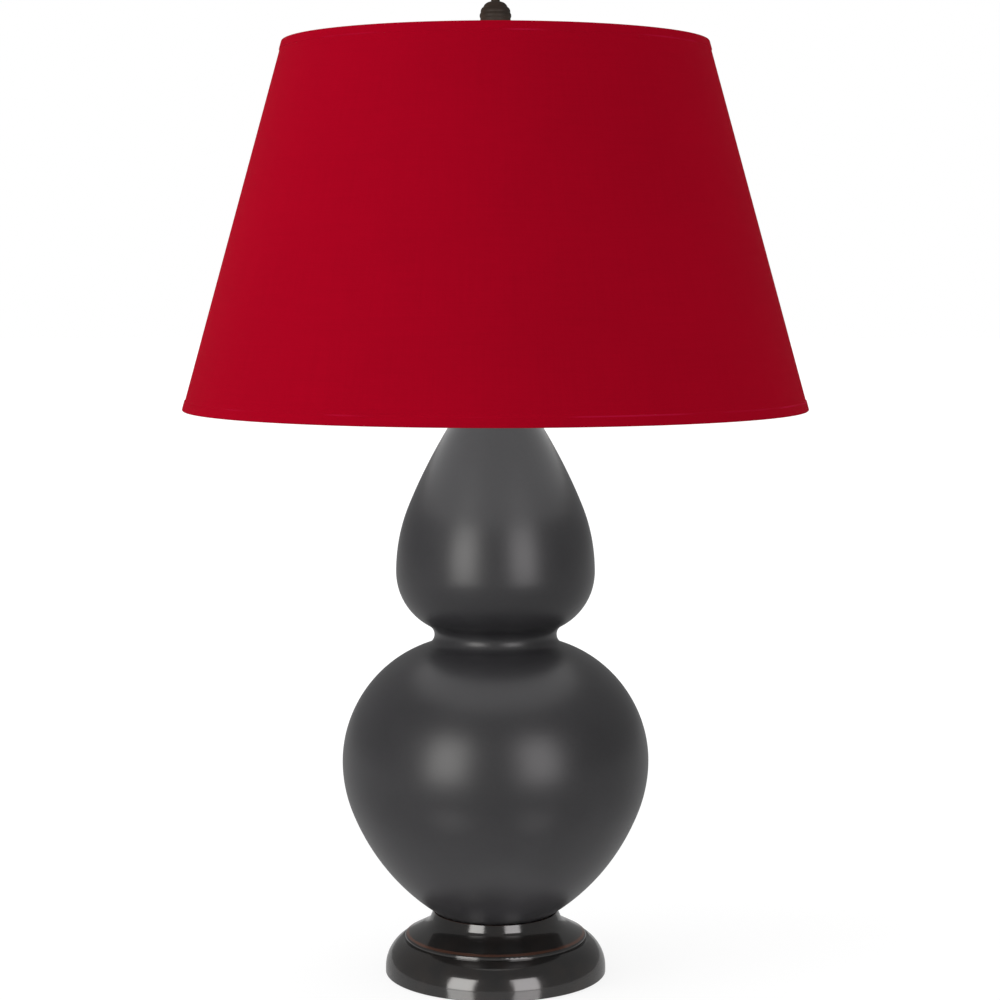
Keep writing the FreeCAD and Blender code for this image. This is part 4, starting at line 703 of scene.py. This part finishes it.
def fibre_finish(name, dark, light, scale, depth):
    """Felt, paper and board: short fibres that lie every way."""
    f = Finish(name)
    place = f.place()
    nap = f.noise(place, scale, 4, 0.75)
    tuft = f.noise(f.stretched(place, 1, 1, 2.5), scale / 6, 3)
    base = f.blend((nap * 0.7 + tuft * 0.3).over(0.25, 0.75), dark, light)
    return f.finished(base_color=base, roughness=0.95, specular_level=0.1,
                      normal=f.bump(nap, depth))


def rubber_finish(name, tone):
    """Dull black rubber or bare iron with a grey bloom in clouds."""
    f = Finish(name)
    place = f.place()
    bloom = f.noise(place, 300, 3)
    return f.finished(base_color=f.blend(bloom, tone, tint(tone, 1.7)),
                      roughness=0.62 + 0.15 * bloom, normal=f.bump(bloom, 0.00003))


# ---- outlines

def heading_of(outward, upward):
    """Unit heading at right angles to an outward normal, going up or down the outline."""
    x, y = outward / np.hypot(*outward)
    return np.array([-y, x]) if upward else np.array([y, -x])


def gourd_side(s, inset, floor, floor_radius, pitch):
    """One wall of the double gourd from its floor to its mouth: seven arcs that join smoothly.

    The belly's upper arc and the upper bulb's lower arc each touch the waist's arc, so their
    radius is (gap across squared + rise squared - waist arc squared) / (2 (bulb - waist))."""
    def touching(bulb, height):
        across, rise = bulb - s.waist - s.waist_arc, height - s.waist_height
        return (across ** 2 + rise ** 2 - s.waist_arc ** 2) / (2 * (bulb - s.waist))

    high_arc, low_arc = touching(s.belly, s.belly_height), touching(s.crown, s.crown_height)
    belly = np.array([s.belly - s.belly_arc, s.belly_height])
    high = np.array([s.belly - high_arc, s.belly_height])
    waist = np.array([s.waist + s.waist_arc, s.waist_height])
    low = np.array([s.crown - low_arc, s.crown_height])
    crown = np.array([s.crown - s.crown_arc, s.crown_height])
    start = -math.asin((s.belly_height - s.belly_join) / s.belly_arc)
    end = math.asin((s.crown_join - s.crown_height) / s.crown_arc)
    enter, leave = waist - high, low - waist
    up = math.atan2(enter[1], enter[0])
    down = math.atan2(-leave[1], -leave[0])
    parts = [
        arc(belly, s.belly_arc - inset, start, 0, pitch),
        arc(high, high_arc - inset, 0, up, pitch),
        arc(waist, s.waist_arc + inset, up + math.pi, down + math.pi, pitch),
        arc(low, low_arc - inset, down, 0, pitch),
        arc(crown, s.crown_arc - inset, 0, end, pitch),
    ]
    foot = leaving_arc(parts[0][0], heading_of(parts[0][0] - belly, False),
                       np.array([floor_radius, floor]), pitch)[::-1]
    mouth = leaving_arc(parts[-1][-1], heading_of(parts[-1][-1] - crown, True),
                        np.array([s.mouth - inset, s.height]), pitch)
    parts = [foot] + parts + [mouth]
    return np.concatenate([part[:-1] for part in parts[:-1]] + [parts[-1]])


# ---- operators

class LampOperator(bpy.types.Operator):
    """Common ground of the lamp's operators."""

    bl_options = {"REGISTER", "UNDO"}

    def execute(self, context):
        self.make(context.scene)
        return {"FINISHED"}


def metals(scene):
    """The finishes that several operators share, made once."""
    tones = scene.lamp_colours
    pitch = scene.lamp_fittings.stud_pitch
    wanted = {
        "satin brass plate": lambda n: plated_finish(n, tones.brass),
        "zinc plate": lambda n: plated_finish(n, tones.steel, 0.34),
        "black phenolic": lambda n: moulded_finish(n, tones.moulding, 0.30),
        "threaded steel": lambda n: threaded_finish(n, tones.steel, pitch),
        "bright aluminium": lambda n: plated_finish(n, ALUMINIUM, 0.20),
        "black rubber": lambda n: rubber_finish(n, RUBBER),
    }
    return {n: bpy.data.materials.get(n) or make(n) for n, make in wanted.items()}


class LAMP_OT_gourd(LampOperator):
    """Build the glazed double gourd"""

    bl_idname = "lamp.gourd"
    bl_label = "Double gourd"

    def make(self, scene):
        s = scene.lamp_gourd
        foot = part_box("ceramic_gourd")[0].z
        thick, hole = 0.008, 0.007  # of the gourd's bottom
        well = s.foot - 0.0008
        outer = gourd_side(s, 0, 0.0, s.foot, 0.0022)
        inner = gourd_side(s, s.wall, thick, well, 0.012)[::-1]
        lip = rounded([(s.mouth - 0.0001, s.height - 0.002), (s.mouth, s.height, 0.0007),
                       (s.mouth - s.wall, s.height, 0.0012),
                       (s.mouth - s.wall, s.height - 0.003)], SMALL_STEP, closed=False)[1:-1]
        bottom = rounded([(hole, thick), (hole, 0.0, 0.0006), (s.foot, 0.0, 0.0008),
                          (s.foot, 0.0016)], SMALL_STEP, closed=False)
        outline = np.concatenate([bottom[:-1], outer[1:-1], lip, inner[1:-1], [(well, thick)]])

        def thrown(a, r, z):
            """The radius wanders by a tenth of a millimetre, as a thrown form does."""
            return 0.00010 * np.sin(2 * a + 60 * z) + 0.00006 * np.sin(3 * a - 31 * z + 1)

        surface = raised(turned(filled(outline, 0.012), scene.lamp_studio.rings, thrown), foot)
        piece("gourd", surface, glaze_finish(scene.lamp_colours.glaze), "lamp",
              "ceramic_gourd", crease=60)


class LAMP_OT_base(LampOperator):
    """Dress the cast base, build its felt pad and dress what it holds"""

    bl_idname = "lamp.base"
    bl_label = "Base"

    def make(self, scene):
        tones = scene.lamp_colours
        dress(patina_finish("dark patina", tones.patina, tones.copper, BASE_EDGES), "base_casting")
        shared = metals(scene)
        low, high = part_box("felt_pad")
        radius = high.x
        soft = 0.0006
        edge = rounded([(0, low.z), (radius, low.z, soft), (radius, high.z, soft), (0, high.z)],
                       SMALL_STEP, closed=False)

        def pressed(a, r, z):
            """The cut edge wavers by up to a tenth of a millimetre."""
            return -0.00005 * (1 + np.sin(37 * a + 2 * np.sin(11 * a))) * (r > 0.9 * radius)

        nap = fibre_finish("black felt", *FELT, 1800, 0.0004)
        felt = piece("felt", turned(filled(edge, 0.004), 128, pressed), nap, "lamp", "felt_pad",
                     crease=35)
        dress(fibre_finish("fibre board", *BOARD, 900, 0.0001), "bottom_board")
        dress(shared["zinc plate"], "board_screws", "lower_lock_washer", "lower_pipe_nut",
              "upper_lock_washer")
        dress(shared["threaded steel"], "threaded_pipe")
        dress(rubber_finish("cast iron", IRON), "ballast_disc")
        dress(shared["black rubber"], "inner_lead", "seat_gasket", "cap_gasket", "cord_gland")


class LAMP_OT_neck(LampOperator):
    """Dress the cap, the neck and the harp's saddle"""

    bl_idname = "lamp.neck"
    bl_label = "Cap and neck"

    def make(self, scene):
        tones = scene.lamp_colours
        patina = patina_finish("dark patina of the cap", tones.patina, tones.copper, CAP_EDGES)
        dress(patina, "vase_cap", "neck_spacer")
        dress(metals(scene)["satin brass plate"], "harp_saddle", "upper_pipe_nut")


class LAMP_OT_socket(LampOperator):
    """Dress the socket and its switch"""

    bl_idname = "lamp.socket"
    bl_label = "Socket and switch"

    def make(self, scene):
        shared = metals(scene)
        dress(shared["satin brass plate"], "socket_cap", "socket_shell", "terminal_screws",
              "centre_contact", "switch_shaft")
        dress(fibre_finish("insulating paper", *PAPER, 1500, 0.00005), "paper_insulator")
        dress(shared["black phenolic"], "socket_body", "switch_rotor", "switch_knob")
        s = scene.lamp_fittings
        low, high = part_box("screw_shell")
        inner, hole, swell = s.cap + s.shell_gap, 0.006, 0.0005
        outline = cup(inner + s.cap_wall, s.cap_wall, hole, low.z, high.z, 0.0008)
        roll = thread(s.cap_pitch, swell, low.z, high.z)

        def rolled(a, r, z):
            """The wall swells outwards where the bulb's thread does, and never comes in."""
            groove = roll(a, r, z)
            full = thread_share(z, s.cap_pitch, low.z, high.z)
            return (swell * full + groove) * (r > 0.9 * inner)

        shell = turned(filled(outline, 0.0004), 72, rolled)
        piece("threaded_shell", shell, shared["bright aluminium"], "lamp", "screw_shell",
              crease=50)


class LAMP_OT_bulb(LampOperator):
    """Dress the bulb"""

    bl_idname = "lamp.bulb"
    bl_label = "Bulb"

    def make(self, scene):
        shared = metals(scene)
        dress(glass_finish(), "bulb_glass", "bulb_stem")
        s = scene.lamp_fittings
        low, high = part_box("bulb_cap")
        hole = s.cap - 0.002
        outline = cup(s.cap, s.cap_wall, hole, low.z, high.z, 0.0006)
        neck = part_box("bulb_glass")[0].z
        roll = thread(s.cap_pitch, s.cap_thread, low.z, neck)
        cap = turned(filled(outline, 0.0004), 72, roll)
        piece("threaded_cap", cap, shared["bright aluminium"], "bulb", "bulb_cap",
              crease=50)
        dress(shared["black phenolic"], "cap_insulator")
        dress(shared["satin brass plate"], "bulb_contact")
        dress(shared["zinc plate"], "filament")


class LAMP_OT_harp(LampOperator):
    """Dress the harp, its ferrules and its swivel"""

    bl_idname = "lamp.harp"
    bl_label = "Harp"

    def make(self, scene):
        brass = metals(scene)["satin brass plate"]
        s = scene.lamp_fittings
        low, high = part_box("harp_swivel")
        seat = high.z - s.stud_length
        under = seat - s.seat_thickness
        head = low.z + s.rivet_height
        outline = rounded([
            (0, low.z), (s.rivet, low.z, 0.0012), (s.rivet, head), (s.shank, head),
            (s.shank, under), (s.seat, under, 0.0004), (s.seat, seat, 0.0004), (s.stud, seat),
            (s.stud, high.z, 0.0005), (0, high.z)], THREAD_STEP)
        plain, depth = 0.003, 0.0004  # unthreaded length above the seat, depth of the thread
        roll = thread(s.stud_pitch, depth, seat + plain, high.z)

        def cut(a, r, z):
            """The thread lies on the stud above its seat only."""
            return roll(a, r, z) * (r > 0.9 * s.stud) * (z > seat)

        piece("swivel", turned(filled(outline, 0.00013), 48, cut), brass, "shade",
              "harp_swivel", crease=60)
        dress(brass, "harp", "ferrule_right", "ferrule_left", "fitter_washer", "spider_arm_1",
              "spider_arm_2", "spider_arm_3", "shade_top_ring", "shade_bottom_ring",
              "finial_washer")


class LAMP_OT_shade(LampOperator):
    """Build the shade: stretched fabric, liner and self-fabric trims"""

    bl_idname = "lamp.shade"
    bl_label = "Shade"

    def make(self, scene):
        s, tones = scene.lamp_shade, scene.lamp_colours
        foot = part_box("shade_bottom_trim")[0].z
        taper = (s.bottom - s.top) / s.height
        segments = scene.lamp_studio.rings
        cloth = cloth_finish("red fabric", tones.cloth, s.thread)

        def cone(height, inset):
            """The point on the shade's straight side at a height, moved in."""
            return (s.bottom - taper * height - inset, height)

        lap, slope = 0.0004, 0.0012

        def seam(a, r, z):
            """The fabric laps at the back: proud over the seam's width, then sloping off."""
            gap = np.abs((a - TURN / 4 + math.pi) % TURN - math.pi) * r
            return lap * (1 - np.clip((gap - s.seam / 2) / slope, 0, 1))

        def leaf(inset, thickness, pitch, wave=None):
            """A sheet up the cone and back, between the trims' folds."""
            ends = np.array([cone(s.trim, inset), cone(s.height - s.trim, inset)])
            skin = filled(ends, pitch, closed=False)
            outline = np.concatenate([skin, skin[::-1] - (thickness, 0)])
            return raised(turned(outline, segments, wave), foot)

        fabric = piece("shade_fabric_skin", leaf(s.trim, s.cloth, 0.006, seam), cloth, "shade",
                       "shade_fabric", crease=40)
        piece("shade_liner_skin", leaf(s.trim + s.cloth, s.liner, 0.03), liner_finish(tones.liner),
              "shade", "shade_liner", crease=40)
        bend, nick = 0.0011, 0.0002  # radii of a hem's fold and of its cut edges
        room, fade, share = 0.003, 0.004, 0.93
        for name, node, edge, tall, up in (
                ("lower_hem", "shade_bottom_trim", 0.0, s.lower_trim, 1),
                ("upper_hem", "shade_top_trim", s.height, s.upper_trim, -1)):
            fold, outer, inner = (edge + up * h for h in (s.trim, tall, s.inner_trim))
            thin = s.trim_width - s.trim
            corners = [
                (*cone(edge, 0), bend), (*cone(outer, 0), nick), (*cone(outer, s.trim), nick),
                cone(fold, s.trim), cone(fold, thin), (*cone(inner, thin), nick),
                (*cone(inner, s.trim_width), nick), (*cone(edge, s.trim_width), bend)]
            if up < 0:
                corners.reverse()

            def notched(a, r, z, edge=edge, up=up):
                """How far the edge of the upper hem's inner leaf is cut back round each arm of the
                spider: a share of the leaf's height within the room beside it, then less."""
                gap = np.abs((a - TURN / 4 + TURN / 6) % (TURN / 3) - TURN / 6) * r
                cut = 1 - np.clip((gap - room) / fade, 0, 1)
                inside = r < cone(z, s.trim_width - 1.5 * s.trim)[0]
                depth = np.clip((z - edge) * up - s.trim, 0, None)
                return (up < 0) * inside * cut * share * depth

            def shifted(a, r, z, cut=notched):
                """The cut edge moves in with the cone's taper, so it stays on the cone."""
                return -taper * cut(a, r, z)

            outline = filled(rounded(corners, SMALL_STEP), 0.002)
            hem = turned(outline, segments, shifted, notched)
            # Each hem's cloth carries a painted highlight along its folded edge.
            pressed = cloth_finish(name.replace("_", " "), tones.cloth, s.thread,
                                   [foot + edge + up * (tall - 0.0003)])
            piece(name, raised(hem, foot), pressed, "shade", node,
                               crease=50)


class LAMP_OT_finial(LampOperator):
    """Build the ball finial"""

    bl_idname = "lamp.finial"
    bl_label = "Finial"

    def make(self, scene):
        tones = scene.lamp_colours
        patina = patina_finish("dark patina of the finial", tones.bronze, tones.copper,
                               FINIAL_EDGES, roughness=0.54, shine=0.26)
        s = scene.lamp_fittings
        low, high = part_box("finial")
        start, end = -math.acos((s.stem + 0.0006) / s.ball), math.acos(s.button / s.ball)
        t = np.linspace(start, end, 90)
        phase = (s.ball * np.sin(t) - s.tier_start) / s.tier
        groove = (0.5 + 0.5 * np.cos(TURN * phase)) ** 2
        reach = s.ball + 0.0001 - s.tier_depth * groove
        ball = np.stack([reach * np.cos(t), s.ball_height + reach * np.sin(t)], 1)
        foot = rounded([
            (s.bore, s.bore_depth), (s.bore, 0, 0.0003), (s.flange, 0, 0.0006),
            (s.flange, s.flange_height, 0.0008), (s.stem, 2 * s.flange_height, 0.002),
            (s.stem, s.collar_height - 0.005, 0.003), (s.collar, s.collar_height - 0.0015, 0.0007),
            (s.collar, s.collar_height, 0.0007), ball[0]], SMALL_STEP, closed=False)
        tall = high.z - low.z
        top = rounded([ball[-1], (s.button, s.ball_height + s.ball - 0.0004, 0.0003),
                       (s.button, tall, 0.0012), (0, tall)], SMALL_STEP, closed=False)
        outline = np.concatenate([foot[:-1], ball, top[1:], [(0, s.bore_depth)]])
        surface = raised(turned(filled(outline, 0.0006), 96), low.z)
        piece("tiered_finial", surface, patina, "finial", "finial", crease=50)


def area_light(name, power, shape, width, depth, glints):
    """A lamp that shows only in glossy surfaces where it glints, and else lights only matt ones."""
    light = bpy.data.lights.new(name, "AREA")
    light.shape, light.size, light.size_y, light.energy = shape, width, depth, power
    made = linked(name, light)
    made.visible_diffuse, made.visible_glossy = not glints, glints
    return made


class LAMP_OT_studio(LampOperator):
    """Set the floor, the softboxes and the camera"""

    bl_idname = "lamp.studio"
    bl_label = "Studio"

    def make(self, scene):
        s = scene.lamp_studio
        self.floor()
        self.world(scene, s.fill, s.gleam)
        warm, cool, plain = (1.0, 0.985, 0.96), (1.0, 0.97, 0.98), (1.0, 1.0, 1.0)
        self.softbox("left_softbox", s.left_power, LEFT_PLACE, SOFTBOX_SIZE, warm, True)
        self.softbox("right_softbox", s.right_power, RIGHT_PLACE, SOFTBOX_SIZE, cool, True)
        self.shade_glow(s.glow_power)
        self.softbox("wash", s.wash_power, WASH_PLACE, WASH_SIZE, plain, False)
        camera = linked("camera", bpy.data.cameras.new("camera"))
        camera.location = (s.offset, -s.distance, s.height)
        camera.rotation_euler = (s.tilt, 0, 0)
        camera.data.lens = s.lens
        camera.data.sensor_width = 36
        camera.data.sensor_fit = "HORIZONTAL"
        camera.data.clip_end = 60
        scene.camera = camera
        scene.view_settings.view_transform = "Standard"

    @staticmethod
    def softbox(name, power, place, size, tone, glints):
        """A rectangular lamp that faces the middle of the object."""
        made = area_light(name, power, "RECTANGLE", *size, glints)
        made.data.color = tone
        made.location = place
        aim = made.location * -1
        aim.z += AIM_HEIGHT
        made.rotation_euler = aim.to_track_quat("-Z", "Y").to_euler()

    @staticmethod
    def shade_glow(power):
        """The pale inside of the shade as the glaze mirrors it: a disc in its lower opening."""
        low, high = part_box("shade_bottom_trim")
        across = 2 * (high.x - 0.008)
        made = area_light("shade_glow", power, "DISK", across, across, True)
        made.location.z = low.z + 0.004

    @staticmethod
    def floor():
        """A wide pale floor that shows white to the camera and keeps the lamp's shadow.

        Close to the lamp it lights matt surfaces from below, and glossy ones mirror it as
        polished; further off they mirror it darker than it is."""
        f = Finish("pale floor")
        rays = f.rays()
        camera = rays["Is Camera Ray"].most(rays["Is Transmission Ray"])
        glossy, diffuse = rays["Is Glossy Ray"], rays["Is Diffuse Ray"]
        place = f.place()
        distance = f.radius(place)
        bright, polished = 1 - distance.over(*BRIGHT_ROUND), 1 - distance.over(*POLISHED_ROUND)
        seen = camera + glossy * (0.12 + 0.16 * polished) + diffuse * 2.4 * bright
        drift = f.noise(place, 3, 2) * 0.01
        white = distance.over(0.25, 1.6) * 0.14 + 0.82 + drift
        tone = f.blend(camera.most(glossy * 0.6), (0.80, 0.80, 0.80), (0.22, 0.22, 0.22))
        matt = f.add("ShaderNodeBsdfDiffuse", None, {"Color": tone})
        glow = f.add("ShaderNodeEmission", None, {"Color": (1, 1, 1), "Strength": seen * white})
        polish = f.add("ShaderNodeBsdfAnisotropic", None, {"Color": (1, 1, 1), "Roughness": 0.12})
        mirrored = glossy * polished * 0.6
        ground = f.add("ShaderNodeMixShader", None, {0: mirrored, 1: matt, 2: polish})
        both = f.add("ShaderNodeAddShader", None, {0: ground, 1: glow})
        f.add("ShaderNodeOutputMaterial", None, {"Surface": both})
        outline = np.array([(FLOOR_RADIUS, -FLOOR_DROP), (0.0, -FLOOR_DROP)])
        disc = turned(outline, 64, closed=False)
        linked("floor", mesh_of("floor", disc, f.made))

    @staticmethod
    def world(scene, fill, gleam):
        """White to the camera and through glass, grey to glossy and to matt surfaces."""
        f = Finish("studio", "worlds")
        rays = f.rays()
        strength = fill
        for ray, seen in (("Is Glossy Ray", gleam), ("Is Transmission Ray", 1.0),
                          ("Is Camera Ray", 1.0)):
            strength = f.add("ShaderNodeMix", None,
                             {"Factor_Float": rays[ray], "A_Float": strength, "B_Float": seen},
                             output="Result_Float")
        glow = f.add("ShaderNodeBackground", None, {"Color": (1, 1, 1), "Strength": strength})
        f.add("ShaderNodeOutputWorld", None, {"Surface": glow})
        scene.world = f.made


OPERATORS = (LAMP_OT_studio, LAMP_OT_base, LAMP_OT_gourd, LAMP_OT_neck, LAMP_OT_socket,
             LAMP_OT_bulb, LAMP_OT_harp, LAMP_OT_shade, LAMP_OT_finial)


class LAMP_PT_build(bpy.types.Panel):
    """Lists the lamp's pieces and their sizes"""

    bl_label = "Double Gourd Lamp"
    bl_idname = "LAMP_PT_build"
    bl_space_type = "VIEW_3D"
    bl_region_type = "UI"
    bl_category = "Lamp"

    def draw(self, context):
        for operator in OPERATORS:
            self.layout.operator(operator.bl_idname)
        for key, group in GROUPS.items():
            box = self.layout.box()
            box.label(text=group.__name__)
            for name in group.__annotations__:
                box.prop(getattr(context.scene, key), name)


CLASSES = (*GROUPS.values(), *OPERATORS, LAMP_PT_build)


def register():
    for cls in CLASSES:
        bpy.utils.register_class(cls)
    for key, group in GROUPS.items():
        setattr(bpy.types.Scene, key, PointerProperty(type=group))


def unregister():
    for key in GROUPS:
        delattr(bpy.types.Scene, key)
    for cls in reversed(CLASSES):
        bpy.utils.unregister_class(cls)


def main():
    """Builds every piece."""
    register()
    for operator in OPERATORS:
        group, name = operator.bl_idname.split(".")
        getattr(getattr(bpy.ops, group), name)()


if __name__ == "__main__":
    main()
